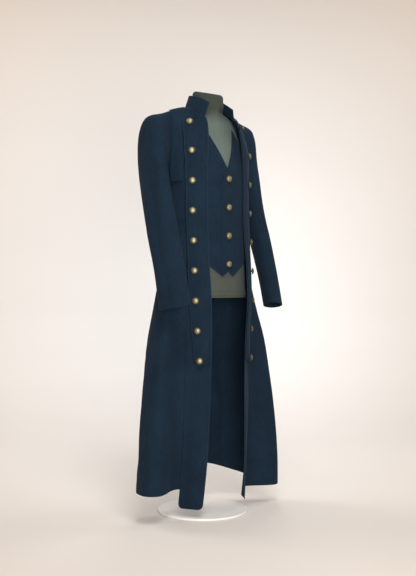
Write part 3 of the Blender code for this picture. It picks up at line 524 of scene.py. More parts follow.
def cloth_piece(name, place, across, up, thickness, outward, folds=(), free=(), stitched=(), row=0.006,
                flat_column=None, cloth=wool):
    """A cut piece as a thin wall: a fine grid laid by a function, folded, with its free rims rounded.

    free and stitched name edges: left, right, low, high. The others are seams, where the folds die
    out. The flat map in metres is the piece's UV map, and the rim attribute is 1 at stitched edges.
    """
    columns, rows = len(across), len(up)
    points = np.array([[tuple(place(column, level)) for column in across] for level in up])
    steps_across = np.linalg.norm(np.diff(points[rows // 2], axis=0), axis=1)
    steps_up = np.linalg.norm(np.diff(points[:, columns // 2], axis=0), axis=1)
    flat_x = np.concatenate(([0.0], np.cumsum(steps_across)))
    flat_y = np.concatenate(([0.0], np.cumsum(steps_up)))
    right, rise = np.gradient(points, axis=1), np.gradient(points, axis=0)
    normals = np.cross(right, rise)
    if flat_column is not None:
        normals[:, flat_column, 0] = 0.0
    normals /= np.linalg.norm(normals, axis=2, keepdims=True)
    middle = points[rows // 2, columns // 2]
    if outward(Vector(middle)).dot(Vector(normals[rows // 2, columns // 2])) < 0:
        normals = -normals
    bm = bmesh.new()
    rim = bm.verts.layers.float.new("rim")
    flat = bm.loops.layers.uv.new("flat")
    bmesh.ops.create_grid(bm, x_segments=columns - 1, y_segments=rows - 1, size=0.5)
    places = {vert: (round((vert.co.x + 0.5) * (columns - 1)), round((vert.co.y + 0.5) * (rows - 1)))
              for vert in bm.verts}
    for vert, (i, j) in places.items():
        x, y = flat_x[i], flat_y[j]
        to_edge = {"left": x, "right": flat_x[-1] - x, "low": y, "high": flat_y[-1] - y}
        from_seam = min([away for edge, away in to_edge.items() if edge not in free], default=1.0)
        lift = fold_height(x, y, folds) * ease(from_seam / SEAM_FADE)
        for edge in stitched:
            lift += edge_height(to_edge[edge], row)
        from_rim = min([to_edge[edge] for edge in stitched], default=1.0)
        # The rim value places the paler edge colour: rubbed wear and a painted highlight.
        vert[rim] = math.exp(-(from_rim / RUBBED_AND_LIT_WIDTH)**2)
        vert.co = Vector(points[j, i]) + Vector(normals[j, i]) * lift
    copied = bmesh.ops.duplicate(bm, geom=bm.verts[:] + bm.edges[:] + bm.faces[:])
    for vert, (i, j) in list(places.items()):
        under = copied["vert_map"][vert]
        under.co = vert.co - Vector(normals[j, i]) * thickness
        places[under] = (i, j)
    rims = [edge for edge in bm.edges if edge.is_boundary]
    limits = {"left": (0, 0), "right": (0, columns - 1), "low": (1, 0), "high": (1, rows - 1)}
    free_limits = [limits[edge] for edge in free]
    rounded = [edge for edge in rims
               if any(all(places[vert][axis] == last for vert in edge.verts) for axis, last in free_limits)]
    bmesh.ops.bridge_loops(bm, edges=rims)
    for face in bm.faces:
        for loop in face.loops:
            i, j = places[loop.vert]
            loop[flat].uv = (flat_x[i], flat_y[j])
    bmesh.ops.recalc_face_normals(bm, faces=bm.faces)
    if rounded:
        bmesh.ops.bevel(bm, geom=rounded, offset=thickness * EDGE_ROUND, offset_type="OFFSET", segments=2,
                        profile=0.5, affect="EDGES", material=-1, clamp_overlap=True)
    return finished(name, bm, cloth)


def finished(name, bm, material, body="root"):
    """Puts a bmesh in the scene as a smooth piece that rides with the object."""
    mesh = bpy.data.meshes.new(name)
    bm.to_mesh(mesh)
    bm.free()
    mesh.shade_smooth()
    mesh.materials.append(material)
    made = bpy.data.objects.new(name, mesh)
    bpy.context.scene.collection.objects.link(made)
    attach(made, body)
    return made


# Front bands
# A band of doubled wool down each front edge, behind the turned-back lapel. It runs on below the
# fronts to its own longer hem, with rounded corners, and its free edge is turned and pressed.
BAND_FOLDS = {
    "R": ((0.050, -0.02, 0.040, 0.46, 0.030, 0.0022), (0.020, 0.10, 0.026, 0.60, 0.014, -0.0010)),
    "L": ((0.040, -0.02, 0.046, 0.40, 0.026, 0.0018), (0.020, 0.16, 0.016, 0.52, 0.012, -0.0012)),
}


def band_place(side):
    def place(across, s):
        c = across * (band_share(side, s) - seam_share("front", side, s))
        if s >= -1.0:
            return mirrored(coat_point("front", c, s, HEM_Z[side]), side)
        z = lerp(HEM_Z[side], band_hem_z(side, across), -1.0 - s)
        return mirrored(skirt_point("front", across * BAND_WIDTH / section_length("front", z), z), side)
    return place


for side in SIDES:
    band_rows = stations(-2.0, -1.0, HEM_Z[side] - BAND_HEM_Z[side], 0.008)[:-1] + \
        stations(-1.0, 0.0, 1.03, 0.010) + stations(0.0, 1.0 - TOP_SEAM_SHARE, 0.24, 0.010)[1:]
    band_columns = stations(0.0, 1.0, BAND_WIDTH, 0.006, turned=True)
    band = cloth_piece(f"wool_band_{side}", band_place(side), band_columns, band_rows, CLOTH, from_axis,
                       BAND_FOLDS[side], free=("left", "low"), stitched=("left",), row=0.007)
    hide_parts(f"front_band_{side}")

# Fronts
# One front on each side, from the band's seam round to the side seam, hollowed for the armhole.
# Cut wide at the hem, it folds in deeply beside the band and falls in two or three soft folds.
FRONT_FOLDS = {
    "R": ((0.150, -0.05, 0.110, 0.70, 0.030, 0.0054), (0.105, 0.02, 0.085, 0.55, 0.020, -0.0040),
          (0.185, 0.05, 0.130, 0.48, 0.018, -0.0038), (0.060, 0.62, 0.075, 0.86, 0.016, 0.0018),
          (0.035, 1.04, 0.075, 1.11, 0.012, -0.0016)),
    "L": ((0.140, -0.05, 0.100, 0.62, 0.028, 0.0050), (0.175, 0.04, 0.125, 0.56, 0.020, -0.0042),
          (0.100, 0.02, 0.080, 0.44, 0.018, -0.0034), (0.056, 0.66, 0.078, 0.90, 0.014, 0.0016),
          (0.040, 1.06, 0.075, 1.13, 0.012, -0.0016)),
}


def front_place(side):
    def place(across, s):
        start = band_share(side, s) + seam_share("front", side, s)
        end = armhole_c("front", s) - seam_share("front", side, s)
        return mirrored(coat_point("front", lerp(start, end, across), s, HEM_Z[side]), side)
    return place


body_rows = stations(-1.0, 0.0, 1.03, 0.011) + stations(0.0, 1.0 - TOP_SEAM_SHARE, 0.24, 0.009)[1:]
for side in SIDES:
    front = cloth_piece(f"wool_front_{side}", front_place(side), stations(0.0, 1.0, 0.17, 0.006), body_rows,
                        CLOTH, from_axis, FRONT_FOLDS[side], free=("low",))
    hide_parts(f"front_{side}")

# Backs
# Two backs joined by a seam down the middle, plain, hollowed for the armholes, with a slightly
# shorter hem that rises toward the middle. The folds start below the hips and widen to the hem.
BACK_FOLDS = {
    "R": ((0.060, -0.05, 0.045, 0.62, 0.026, 0.0056), (0.110, -0.05, 0.085, 0.54, 0.022, -0.0050),
          (0.165, -0.05, 0.120, 0.60, 0.026, 0.0056), (0.225, 0.02, 0.165, 0.45, 0.020, -0.0058),
          (0.020, 0.66, 0.055, 0.80, 0.014, 0.0014), (0.120, 1.02, 0.075, 1.12, 0.014, -0.0018)),
    "L": ((0.052, -0.05, 0.050, 0.56, 0.024, 0.0052), (0.100, -0.05, 0.080, 0.60, 0.022, -0.0048),
          (0.155, -0.05, 0.118, 0.52, 0.028, 0.0058), (0.215, 0.02, 0.160, 0.50, 0.020, -0.0040),
          (0.025, 0.70, 0.060, 0.82, 0.014, 0.0014), (0.120, 1.00, 0.080, 1.12, 0.014, -0.0018)),
}


def back_place(side):
    def place(across, s):
        seam = seam_share("back", side, s)
        c = lerp(seam, armhole_c("back", s) - seam, across)
        return mirrored(coat_point("back", c, s, back_hem(side, c)), side)
    return place


for side in SIDES:
    back = cloth_piece(f"wool_back_{side}", back_place(side), stations(0.0, 1.0, 0.20, 0.0065), body_rows,
                       CLOTH, from_axis, BACK_FOLDS[side], free=("low",), flat_column=0)
    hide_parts(f"back_{side}")

# Sleeves
# Two-piece sleeves, a wide upper over the outside of the arm and an under against the body, set
# into the armhole and bent a little forward at the elbow. The cuff is a plain turned hem.
SLEEVE_COLUMNS = ("outer_x", "outer_z", "inner_x", "inner_z", "middle_y", "half_fore", "turn")
SLEEVE_RINGS = (
    (0.2040, 1.2960, 0.1650, 1.1140, 0.010, 0.0530, 2.0),
    (0.2210, 1.2830, 0.1665, 1.1050, 0.014, 0.0560, 5.0),
    (0.2285, 1.2520, 0.1680, 1.0890, 0.013, 0.0585, 9.0),
    (0.2300, 1.1970, 0.1690, 1.0650, 0.009, 0.0595, 12.0),
    (0.2315, 1.1200, 0.1695, 1.0300, -0.003, 0.0590, 15.0),
    (0.2335, 1.0270, 0.1700, 0.9850, -0.022, 0.0570, 19.0),
    (0.2390, 0.9170, 0.1765, 0.9000, -0.056, 0.0555, 23.0),
    (0.2400, 0.8160, 0.1780, 0.8100, -0.086, 0.0530, 26.0),
    (0.2405, 0.7500, 0.1800, 0.7480, -0.103, 0.0525, 27.0),
    (0.2410, 0.6810, 0.1810, 0.6870, -0.118, 0.0520, 28.0),
)
SLEEVE_HEM_SLANT = 0.010
SLEEVE_MIDDLE_X = 0.204
SLEEVE_SEAM = 100.0
SLEEVE_SEAM_TURN = 0.16
SLEEVE_SEAM_GAP = 0.0006
SLEEVE_FOLDS = {
    "upper": ((0.052, 0.05, 0.070, 0.46, 0.026, 0.0040), (0.098, 0.02, 0.092, 0.42, 0.020, -0.0030),
              (0.150, 0.24, 0.185, 0.31, 0.011, -0.0032), (0.150, 0.28, 0.190, 0.36, 0.010, -0.0026),
              (0.030, 0.27, 0.062, 0.33, 0.011, -0.0028), (0.026, 0.31, 0.060, 0.36, 0.010, -0.0022),
              (0.124, 0.30, 0.140, 0.58, 0.024, 0.0036), (0.060, 0.46, 0.140, 0.50, 0.012, -0.0014)),
    "under": ((0.020, 0.26, 0.075, 0.30, 0.010, -0.0026), (0.020, 0.32, 0.070, 0.35, 0.010, -0.0022),
              (0.060, 0.05, 0.062, 0.50, 0.018, 0.0018)),
}


def armhole_point(turn):
    """Armhole by angle: 0 at the shoulder tip, 90 degrees at the front, 180 at the armpit."""
    turn %= 360.0
    part = "front" if turn < 180.0 else "back"
    away = turn if turn < 180.0 else 360.0 - turn
    s = 0.5 + 0.5 * math.cos(math.radians(away))
    return coat_point(part, armhole_c(part, s), s, LOWEST_HEM_Z)


def sleeve_ring(index, turn):
    """Point of a sleeve ring, by the same angle as the armhole."""
    row = dict(zip(SLEEVE_COLUMNS, SLEEVE_RINGS[index]))
    outer = Vector((row["outer_x"], row["middle_y"], row["outer_z"]))
    inner = Vector((row["inner_x"], row["middle_y"], row["inner_z"]))
    swing = math.radians(row["turn"])
    fore = Vector((-math.sin(swing), -math.cos(swing), 0.0)) * row["half_fore"]
    middle, across = (outer + inner) / 2, (outer - inner) / 2
    across = Vector((across.x * math.cos(swing), -across.x * math.sin(swing), across.z))
    angle = math.radians(turn)
    slant = SLEEVE_HEM_SLANT * math.sin(angle) if index == len(SLEEVE_RINGS) - 1 else 0.0
    return middle + across * math.cos(angle) + fore * math.sin(angle) + Vector((0, 0, slant))


def sleeve_point(turn, along):
    """Point of the sleeve between its rings, on a smooth curve down its length."""
    count = len(SLEEVE_RINGS)
    start = armhole_point(turn)
    rings = [start + Vector((SLEEVE_SEAM_GAP, 0.0, 0.0))] + [sleeve_ring(i, turn) for i in range(count)]
    place = min(along * count, count - 1e-6)
    at = int(place)
    t = place - at
    before, after = rings[max(at - 1, 0)], rings[min(at + 2, count)]
    here, there = rings[at], rings[at + 1]
    return 0.5 * (2 * here + (there - before) * t + (2 * before - 5 * here + 4 * there - after) * t**2
                  + (3 * here - before - 3 * there + after) * t**3)


def sleeve_place(side):
    def place(turn, along):
        return mirrored(sleeve_point(turn, 1.0 - along), side)
    return place


for side in SIDES:
    for piece, first, last, wide, area in (("upper", -SLEEVE_SEAM, SLEEVE_SEAM, 0.21, 0.105),
                                           ("under", SLEEVE_SEAM, 360.0 - SLEEVE_SEAM, 0.17, 0.075)):
        turns = stations(first + SLEEVE_SEAM_TURN, last - SLEEVE_SEAM_TURN, wide, 0.0065)
        rows = stations(0.0, 1.0, 0.60, 0.008, turned=True)
        sleeve = cloth_piece(f"wool_sleeve_{piece}_{side}", sleeve_place(side), turns, rows, CLOTH,
                             lambda point: Vector((point.x - SLEEVE_MIDDLE_X * SIDES[side], 0.0, 0.0)),
                             SLEEVE_FOLDS[piece], free=("low",))
        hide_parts(f"sleeve_{'top' if piece == 'upper' else 'under'}_{side}")

# Collar
# A stand collar in one band round the neck, of two layers of wool with a stiff middle, so it holds
# its shape. Its front ends slant in, and its top edge is turned and stitched.
COLLAR_TOP = {
    "R": (
        (0.00, 0.0448, -0.0887, 1.3421),
        (0.25, 0.0590, -0.0600, 1.3588),
        (0.50, 0.0600, -0.0200, 1.3702),
        (0.75, 0.0440, 0.0170, 1.3775),
        (1.00, 0.0000, 0.0310, 1.3800),
    ),
    "L": (
        (0.00, 0.0570, -0.0885, 1.3290),
        (0.25, 0.0630, -0.0580, 1.3450),
        (0.50, 0.0610, -0.0200, 1.3650),
        (0.75, 0.0440, 0.0170, 1.3760),
        (1.00, 0.0000, 0.0310, 1.3800),
    ),
}
COLLAR_INSET = 0.0010
COLLAR_LIFT = 0.0008
COLLAR_FOLDS = ((0.040, 0.010, 0.075, 0.040, 0.012, -0.0010), (0.190, 0.006, 0.200, 0.046, 0.016, 0.0008),
                (0.300, 0.012, 0.330, 0.036, 0.012, -0.0009))


def collar_place(around, up):
    side = "R" if around < 0 else "L"
    along = 1.0 - abs(around)
    base = neck_point(along)
    top = Vector([track(COLLAR_TOP[side], NECK_COLUMNS, axis, along) for axis in "xyz"])
    base = base - from_axis(base).normalized() * COLLAR_INSET + Vector((0.0, 0.0, COLLAR_LIFT))
    return mirrored(base.lerp(top, up), side)


collar = cloth_piece("wool_collar", collar_place, stations(-1.0, 1.0, 0.38, 0.006, turned=True),
                     stations(0.0, 1.0, 0.056, 0.005, turned=True), COLLAR_CLOTH,
                     from_axis, COLLAR_FOLDS,
                     free=("left", "right", "high"), stitched=("left", "right", "high"), row=0.0055)
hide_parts("collar")

# Lapels
# The front edges turned back on themselves from neck to thigh and buttoned down flat, each a
# doubled strip of wool that stands a little proud of the front, cut on a slant at its lower end.
LAPEL_COLUMNS = ("z", "outer_x", "outer_y")
LAPEL_OUTER = (
    (0.4915, 0.1145, -0.0990),
    (0.5164, 0.1165, -0.0975),
    (0.6085, 0.1230, -0.0912),
    (0.7068, 0.1310, -0.0895),
    (0.8000, 0.1322, -0.0858),
    (0.8944, 0.1326, -0.0808),
    (0.9928, 0.1335, -0.0758),
    (1.0882, 0.1330, -0.0748),
    (1.1824, 0.1365, -0.0715),
    (1.2300, 0.1310, -0.0616),
    (1.2820, 0.1190, -0.0425),
)
LAPEL_WIDTH = 0.070
LAPEL_LENGTH = 0.79
LAPEL_TOP_Z = 1.283
LAPEL_INNER_END_Z = 0.5115
LAPEL_TIP_Z = 0.4915
LAPEL_STAND_OFF = 0.0026
LAPEL_SWELL = 0.004
LAPEL_FOLD_GAP = 0.0017
LAPEL_ROLL = 0.25
LAPEL_FOLDS = {
    "R": ((0.030, 0.06, 0.036, 0.34, 0.020, 0.0009), (0.010, 0.42, 0.060, 0.44, 0.020, -0.0007),
          (0.048, 0.10, 0.052, 0.28, 0.012, -0.0008), (0.012, 0.62, 0.060, 0.66, 0.024, 0.0008)),
    "L": ((0.034, 0.10, 0.030, 0.40, 0.020, 0.0009), (0.010, 0.50, 0.060, 0.53, 0.020, -0.0007),
          (0.050, 0.04, 0.048, 0.22, 0.012, -0.0008)),
}


def front_edge(z):
    """The coat's front edge at a height, also above the armpit."""
    if z <= ARMPIT_Z:
        return Vector((section("edge_x", z), section("edge_y", z), z))
    top = neck_point(0.0)
    rise = min((z - ARMPIT_Z) / (top.z - ARMPIT_Z), 1.0)
    angle = math.asin(rise**(1 / SHOULDER_POWER))
    depth = math.cos(angle)**SHOULDER_POWER
    low_x, low_y = section("edge_x", ARMPIT_Z), section("edge_y", ARMPIT_Z)
    return Vector((lerp(low_x, top.x, rise), lerp(top.y, low_y, depth), z))


def lapel_point(side, across, z):
    """Point of a lapel's outer face, across running from the front edge to the free edge."""
    inner = front_edge(z)
    outer = Vector((track(LAPEL_OUTER, LAPEL_COLUMNS, "outer_x", z),
                    track(LAPEL_OUTER, LAPEL_COLUMNS, "outer_y", z), z))
    along = outer - inner
    out = Vector((along.y, -along.x, 0.0)).normalized()
    swell = LAPEL_SWELL * math.sin(math.pi * across)
    stand_off = lerp(LAPEL_FOLD_GAP, LAPEL_STAND_OFF, ease(across / LAPEL_ROLL))
    point = inner.lerp(outer, across) + out * (stand_off + LAPEL_CLOTH + swell)
    return mirrored(point, side)


def lapel_end_z(across):
    """The slanted lower end, with its point at the free edge."""
    return lerp(LAPEL_INNER_END_Z, LAPEL_TIP_Z, across)


def straight_ahead(point):
    return Vector((0.0, -1.0, 0.0))


def lapel_place(side):
    def place(across, up):
        return lapel_point(side, across, lerp(lapel_end_z(across), LAPEL_TOP_Z, up))
    return place


for side in SIDES:
    lapel_columns = stations(0.0, 1.0, LAPEL_WIDTH, 0.005, turned=True)
    lapel_rows = stations(0.0, 1.0, LAPEL_LENGTH, 0.009, turned=True)
    lapel = cloth_piece(f"wool_lapel_{side}", lapel_place(side), lapel_columns, lapel_rows, LAPEL_CLOTH,
                        straight_ahead, LAPEL_FOLDS[side],
                        free=("right", "low"), stitched=("left", "right", "low"), row=0.006)
    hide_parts(f"lapel_{side}")

# Shoulder flaps
# A loose flap over each side of the chest, sewn in at the shoulder and behind the lapel, with its
# lower edge free and turned under.
FLAP_HEM_Z = 1.0835
FLAP_INNER = 0.53
FLAP_OUTER = 0.80
FLAP_STAND_OFF = 0.004
FLAP_ARMHOLE_MARGIN = 0.012
FLAP_TOP_S = 0.975
FLAP_FREE = 0.6
FLAP_STEP = 0.02
FLAP_INNER_LIFT = 0.4
FLAP_FOLDS = ((0.012, 0.02, 0.034, 0.12, 0.012, 0.0012), (0.040, 0.00, 0.030, 0.09, 0.010, -0.0009))


def flap_place(side):
    low_s = -(ARMPIT_Z - FLAP_HEM_Z) / (ARMPIT_Z - HEM_Z[side])

    def place(across, up):
        s = lerp(low_s, FLAP_TOP_S, up)
        end = min(FLAP_OUTER, armhole_c("front", s) - FLAP_ARMHOLE_MARGIN)
        c = lerp(FLAP_INNER, end, across)
        point = coat_point("front", c, s, HEM_Z[side])
        beside = coat_point("front", c - FLAP_STEP, s, HEM_Z[side])
        above = coat_point("front", c, s + FLAP_STEP, HEM_Z[side])
        out = (point - beside).cross(above - point).normalized()
        if out.y > 0:
            out.negate()
        lift = FLAP_STAND_OFF * ease(1.0 - (s - low_s) / FLAP_FREE) * lerp(FLAP_INNER_LIFT, 1.0, across)
        return mirrored(point + out * (CLOTH + 2 * LAYER + lift), side)
    return place


for side in SIDES:
    flap = cloth_piece(f"wool_flap_{side}", flap_place(side), stations(0.0, 1.0, 0.05, 0.005, turned=True),
                       stations(0.0, 1.0, 0.25, 0.007, turned=True), CLOTH,
                       straight_ahead, FLAP_FOLDS,
                       free=("left", "right", "low"))
    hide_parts(f"shoulder_flap_{side}")

# Dress form sections
# The padded torso's outline by height: a level oval for each row, flatter in front than behind
# and drawn in at the waist. The waistcoat front is laid over it, so it comes first.
FORM_COLUMNS = ("z", "half_width", "widest_y", "front_y", "back_y", "power")
FORM_SECTIONS = (
    (0.711, 0.1440, -0.014, -0.1235, 0.0900, 2.25),
    (0.760, 0.1420, -0.012, -0.1240, 0.0910, 2.25),
    (0.820, 0.1390, -0.010, -0.1240, 0.0850, 2.25),
    (0.896, 0.1340, -0.006, -0.1240, 0.0780, 2.25),
    (0.976, 0.1350, -0.003, -0.1238, 0.0830, 2.25),
    (1.050, 0.1390, 0.000, -0.1242, 0.0940, 2.25),
    (1.120, 0.1430, 0.002, -0.1225, 0.1000, 2.15),
    (1.180, 0.1460, 0.003, -0.1130, 0.0940, 2.00),
    (1.225, 0.1500, 0.003, -0.1000, 0.0800, 1.80),
    (1.255, 0.1520, 0.002, -0.0900, 0.0680, 1.65),
    (1.274, 0.1510, 0.001, -0.0850, 0.0600, 1.55),
    (1.290, 0.1480, 0.000, -0.0815, 0.0500, 1.40),
    (1.302, 0.1420, -0.001, -0.0795, 0.0400, 1.25),
    (1.312, 0.1240, 0.000, -0.0780, 0.0340, 1.15),
    (1.324, 0.0950, 0.004, -0.0765, 0.0300, 1.08),
    (1.328, 0.0640, -0.010, -0.0760, 0.0270, 1.60),
    (1.334, 0.0570, -0.019, -0.0755, 0.0250, 2.10),
    (1.350, 0.0520, -0.024, -0.0745, 0.0230, 2.25),
    (1.385, 0.0480, -0.029, -0.0760, 0.0180, 2.25),
)

# Waistcoat front
# Two halves of a fitted waistcoat front in the coat's own wool, held in at the coat's edges. The
# wearer's left half laps over the right, and each half ends in a point below the last button.
WAISTCOAT_V_Z = 1.131
WAISTCOAT_TOP_Z = 1.2635
WAISTCOAT_TOP_X = 0.060
WAISTCOAT_V_POWER = 1.12
WAISTCOAT_LIFT = 0.0034
WAISTCOAT_LAP_START = 0.002
WAISTCOAT_LAP_WIDTH = 0.030
WAISTCOAT_STEP = 0.002
WAISTCOAT_OVERLAP = 0.024
WAISTCOAT_SIDE_X = 0.100
WAISTCOAT_SIDE_TOP_Z = 1.190
WAISTCOAT_POINT_Z = 0.780
WAISTCOAT_POINT_X = 0.0228
WAISTCOAT_NOTCH_Z = 0.7956
WAISTCOAT_SIDE_HEM_Z = 0.836
WAISTCOAT_BUTTONS = 4
WAISTCOAT_BUTTON_TOP_Z = 1.0937
WAISTCOAT_BUTTON_PITCH = 0.0914
WAISTCOAT_FOLDS = {
    "R": ((0.020, 0.10, 0.055, 0.13, 0.010, -0.0006), (0.045, 0.02, 0.050, 0.30, 0.006, -0.0007)),
    "L": ((0.040, 0.10, 0.080, 0.13, 0.010, -0.0006), (0.075, 0.02, 0.078, 0.30, 0.006, -0.0007),
          (0.040, 0.20, 0.085, 0.215, 0.009, -0.0005)),
}


def waistcoat_ring_y(x, z):
    """Front of the waistcoat over the dress form at a place across."""
    names = ("half_width", "widest_y", "front_y", "power")
    width, widest, front, power = [track(FORM_SECTIONS, FORM_COLUMNS, name, z) for name in names]
    reach = widest - front
    across = min(abs(x) / width, 0.999)
    return widest - reach * (1 - across**power)**(1 / power)


def waistcoat_point(x, z, lift):
    """Point over the form's front, moved out along the form's own normal."""
    step = WAISTCOAT_STEP
    y = waistcoat_ring_y(x, z)
    slope_x = (waistcoat_ring_y(x + step, z) - waistcoat_ring_y(x - step, z)) / (2 * step)
    slope_z = (waistcoat_ring_y(x, z + step) - waistcoat_ring_y(x, z - step)) / (2 * step)
    out = Vector((slope_x, -1.0, slope_z)).normalized()
    return Vector((x, y, z)) + out * lift


def waistcoat_outline(along, side):
    """Hem and top edge heights, and the place across, of a waistcoat front."""
    inner = -WAISTCOAT_OVERLAP if side == "L" else 0.0
    x = lerp(inner, WAISTCOAT_SIDE_X, along)
    if x < WAISTCOAT_TOP_X:
        reach = x / WAISTCOAT_TOP_X
        top = lerp(WAISTCOAT_V_Z, WAISTCOAT_TOP_Z, math.copysign(abs(reach)**WAISTCOAT_V_POWER, reach))
    else:
        reach = (x - WAISTCOAT_TOP_X) / (WAISTCOAT_SIDE_X - WAISTCOAT_TOP_X)
        top = lerp(WAISTCOAT_TOP_Z, WAISTCOAT_SIDE_TOP_Z, reach)
    below = abs(abs(x) - WAISTCOAT_POINT_X)
    if abs(x) < WAISTCOAT_POINT_X:
        hem = lerp(WAISTCOAT_POINT_Z, WAISTCOAT_NOTCH_Z, below / WAISTCOAT_POINT_X)
    else:
        hem = lerp(WAISTCOAT_POINT_Z, WAISTCOAT_SIDE_HEM_Z, below / (WAISTCOAT_SIDE_X - WAISTCOAT_POINT_X))
    return x, hem, top


def waistcoat_place(side):
    def place(along, up):
        x, hem, top = waistcoat_outline(along, side)
        lift = WAISTCOAT_LIFT
        if side == "L":
            lift += (CLOTH + LAYER) * ease(1.0 - (x + WAISTCOAT_LAP_START) / WAISTCOAT_LAP_WIDTH)
        return mirrored(waistcoat_point(x, lerp(hem, top, up), lift), side)
    return place


for side, inner in (("R", 0.0), ("L", -WAISTCOAT_OVERLAP)):
    wide = WAISTCOAT_SIDE_X - inner
    point_at = (WAISTCOAT_POINT_X - inner) / wide
    columns = sorted(set(stations(0.0, 1.0, wide, 0.005, turned=True) + [point_at, -inner / wide]))
    half = cloth_piece(f"wool_waistcoat_{side}", waistcoat_place(side), columns,
                       stations(0.0, 1.0, 0.45, 0.007, turned=True), CLOTH,
                       straight_ahead, WAISTCOAT_FOLDS[side],
                       free=("left", "low", "high"), stitched=("left", "low", "high"), row=0.0055)
    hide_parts(f"waistcoat_{side}")

# Topstitching
# Rows of navy thread in the wool's own shade, about four millimetres a stitch, pressed into the
# cloth beside the edges of the lapels, the collar and the waistcoat.
THREAD_RADIUS = 0.00042
STITCH_LENGTH = 0.0026
STITCH_PITCH = 0.0038
THREAD_COLOUR = (0.0040, 0.0088, 0.0155, 1.0)
THREAD_BRIGHT = (0.0066, 0.0145, 0.0250, 1.0)
THREAD_FLECKS = 700.0
LAPEL_ROW = 0.006 / LAPEL_WIDTH
LAPEL_ROW_LOW = 0.008
LAPEL_ROW_HIGH = 0.995
LAPEL_HEM_ROW = 0.0076
WAISTCOAT_ROW_IN = 0.0055
WAISTCOAT_ROW_HIGH = 1 - 0.0055 / 0.44
COLLAR_ROW_END = 0.985
COLLAR_ROW_LOW = 0.06
COLLAR_ROW_HIGH = 0.90


def thread_material(name, dark, bright, flecks, roughness, specular):
    """Twisted sewing thread, a little uneven in colour."""
    material, tree, shader, place = shader_material(name, roughness, specular)
    uneven = mix_colour(tree, noise(tree, place.outputs["Object"], flecks, 2.0), dark, bright)
    tree.links.new(uneven, shader.inputs["Base Color"])
    return material


thread = thread_material("Navy thread", THREAD_COLOUR, THREAD_BRIGHT, THREAD_FLECKS, 0.7, CLOTH_SPECULAR)


def stitch_line(bm, place, ends, count=160):
    """Stitches along a line on a piece, ends being its first and last stations (across, up)."""
    (start_across, start_up), (end_across, end_up) = ends
    path = [place(lerp(start_across, end_across, i / count), lerp(start_up, end_up, i / count))
            for i in range(count + 1)]
    lengths = np.concatenate(([0.0], np.cumsum([(b - a).length for a, b in zip(path, path[1:])])))
    table = np.array([tuple(point) for point in path])

    def point_at(distance):
        return Vector([np.interp(distance, lengths, table[:, axis]) for axis in range(3)])

    at = STITCH_PITCH
    while at < lengths[-1] - STITCH_PITCH / 2:
        middle = point_at(at)
        turn = (point_at(at + STITCH_PITCH / 2) - middle).to_track_quat("Z", "Y").to_matrix().to_4x4()
        bmesh.ops.create_cone(bm, cap_ends=True, segments=5, radius1=THREAD_RADIUS,
                              radius2=THREAD_RADIUS * 0.9, depth=STITCH_LENGTH,
                              matrix=Matrix.Translation(middle) @ turn)
        at += STITCH_PITCH


for side in SIDES:
    bm = bmesh.new()
    place = lapel_place(side)
    for across in (LAPEL_ROW, 1 - LAPEL_ROW):
        stitch_line(bm, place, ((across, LAPEL_ROW_LOW), (across, LAPEL_ROW_HIGH)), 300)
    stitch_line(bm, place, ((LAPEL_ROW, LAPEL_HEM_ROW), (1 - LAPEL_ROW, LAPEL_HEM_ROW)), 40)
    place = waistcoat_place(side)
    inner_row = WAISTCOAT_ROW_IN / (WAISTCOAT_SIDE_X + (WAISTCOAT_OVERLAP if side == "L" else 0.0))
    stitch_line(bm, place, ((inner_row, 0.012), (inner_row, 0.985)), 120)
    stitch_line(bm, place, ((0.01, WAISTCOAT_ROW_HIGH), (0.95, WAISTCOAT_ROW_HIGH)), 120)
    stitches = finished(f"topstitching_{side}", bm, thread)
bm = bmesh.new()
near_top, far_top = (-COLLAR_ROW_END, COLLAR_ROW_HIGH), (COLLAR_ROW_END, COLLAR_ROW_HIGH)
near_foot, far_foot = (-COLLAR_ROW_END, COLLAR_ROW_LOW), (COLLAR_ROW_END, COLLAR_ROW_LOW)
for ends in ((near_top, far_top), (near_foot, near_top), (far_foot, far_top)):
    stitch_line(bm, collar_place, ends, 200)
collar_stitches = finished("topstitching_collar", bm, thread)

# Buttons
# Domed brass shank buttons with a rolled rim, plain, aged dark in the hollows and rubbed bright on
# the crown. Nine go down each lapel and four down the waistcoat front, each sewn on by its shank.
LAPEL_BUTTON_ACROSS = 0.70
LAPEL_BUTTONS = 9
LAPEL_BUTTON_TOP_Z = 1.2753
LAPEL_BUTTON_END_Z = 0.5120
BUTTON_RADIUS = 0.0118
BUTTON_DOME = 0.0058
BUTTON_RIM = 0.0014
BUTTON_SHANK_RADIUS = 0.0035
BUTTON_SHANK = 0.0020
BRASS_DARK = (0.034, 0.028, 0.015, 1.0)
BRASS_BRIGHT = (0.27, 0.24, 0.145, 1.0)
BUTTON_SPOKES = 24
DOME_SHARE = 0.90
DOME_ANGLES = (0.25, 0.5, 0.75, 1.0, 1.2, 1.38, 1.51)
RIM_PROFILE = ((0.90, -0.0006), (0.93, -0.0002), (0.98, 0.0), (1.0, -0.0006))
BRASS_ROUGHNESS = {"dark": 0.72, "bright": 0.50}
brass, brass_tree, brass_shader, brass_place = shader_material("Antique brass", BRASS_ROUGHNESS["dark"])
crown = brass_tree.nodes.new("ShaderNodeAttribute")
crown.attribute_name = "crown"
tarnish = noise(brass_tree, brass_place.outputs["Object"], 320.0, 4.0, 0.65)
wear = math_node(brass_tree, "ADD", math_node(brass_tree, "MULTIPLY", crown.outputs["Fac"], 0.75),
                 math_node(brass_tree, "MULTIPLY", tarnish, 0.45))
rubbed = range_node(brass_tree, wear, 0.25, 0.95)
brass_colour = mix_colour(brass_tree, rubbed, BRASS_DARK, BRASS_BRIGHT)
brass_gloss = range_node(brass_tree, rubbed, 0.0, 1.0, BRASS_ROUGHNESS["dark"], BRASS_ROUGHNESS["bright"])
brass_tree.links.new(brass_colour, brass_shader.inputs["Base Color"])
brass_tree.links.new(brass_gloss, brass_shader.inputs["Roughness"])
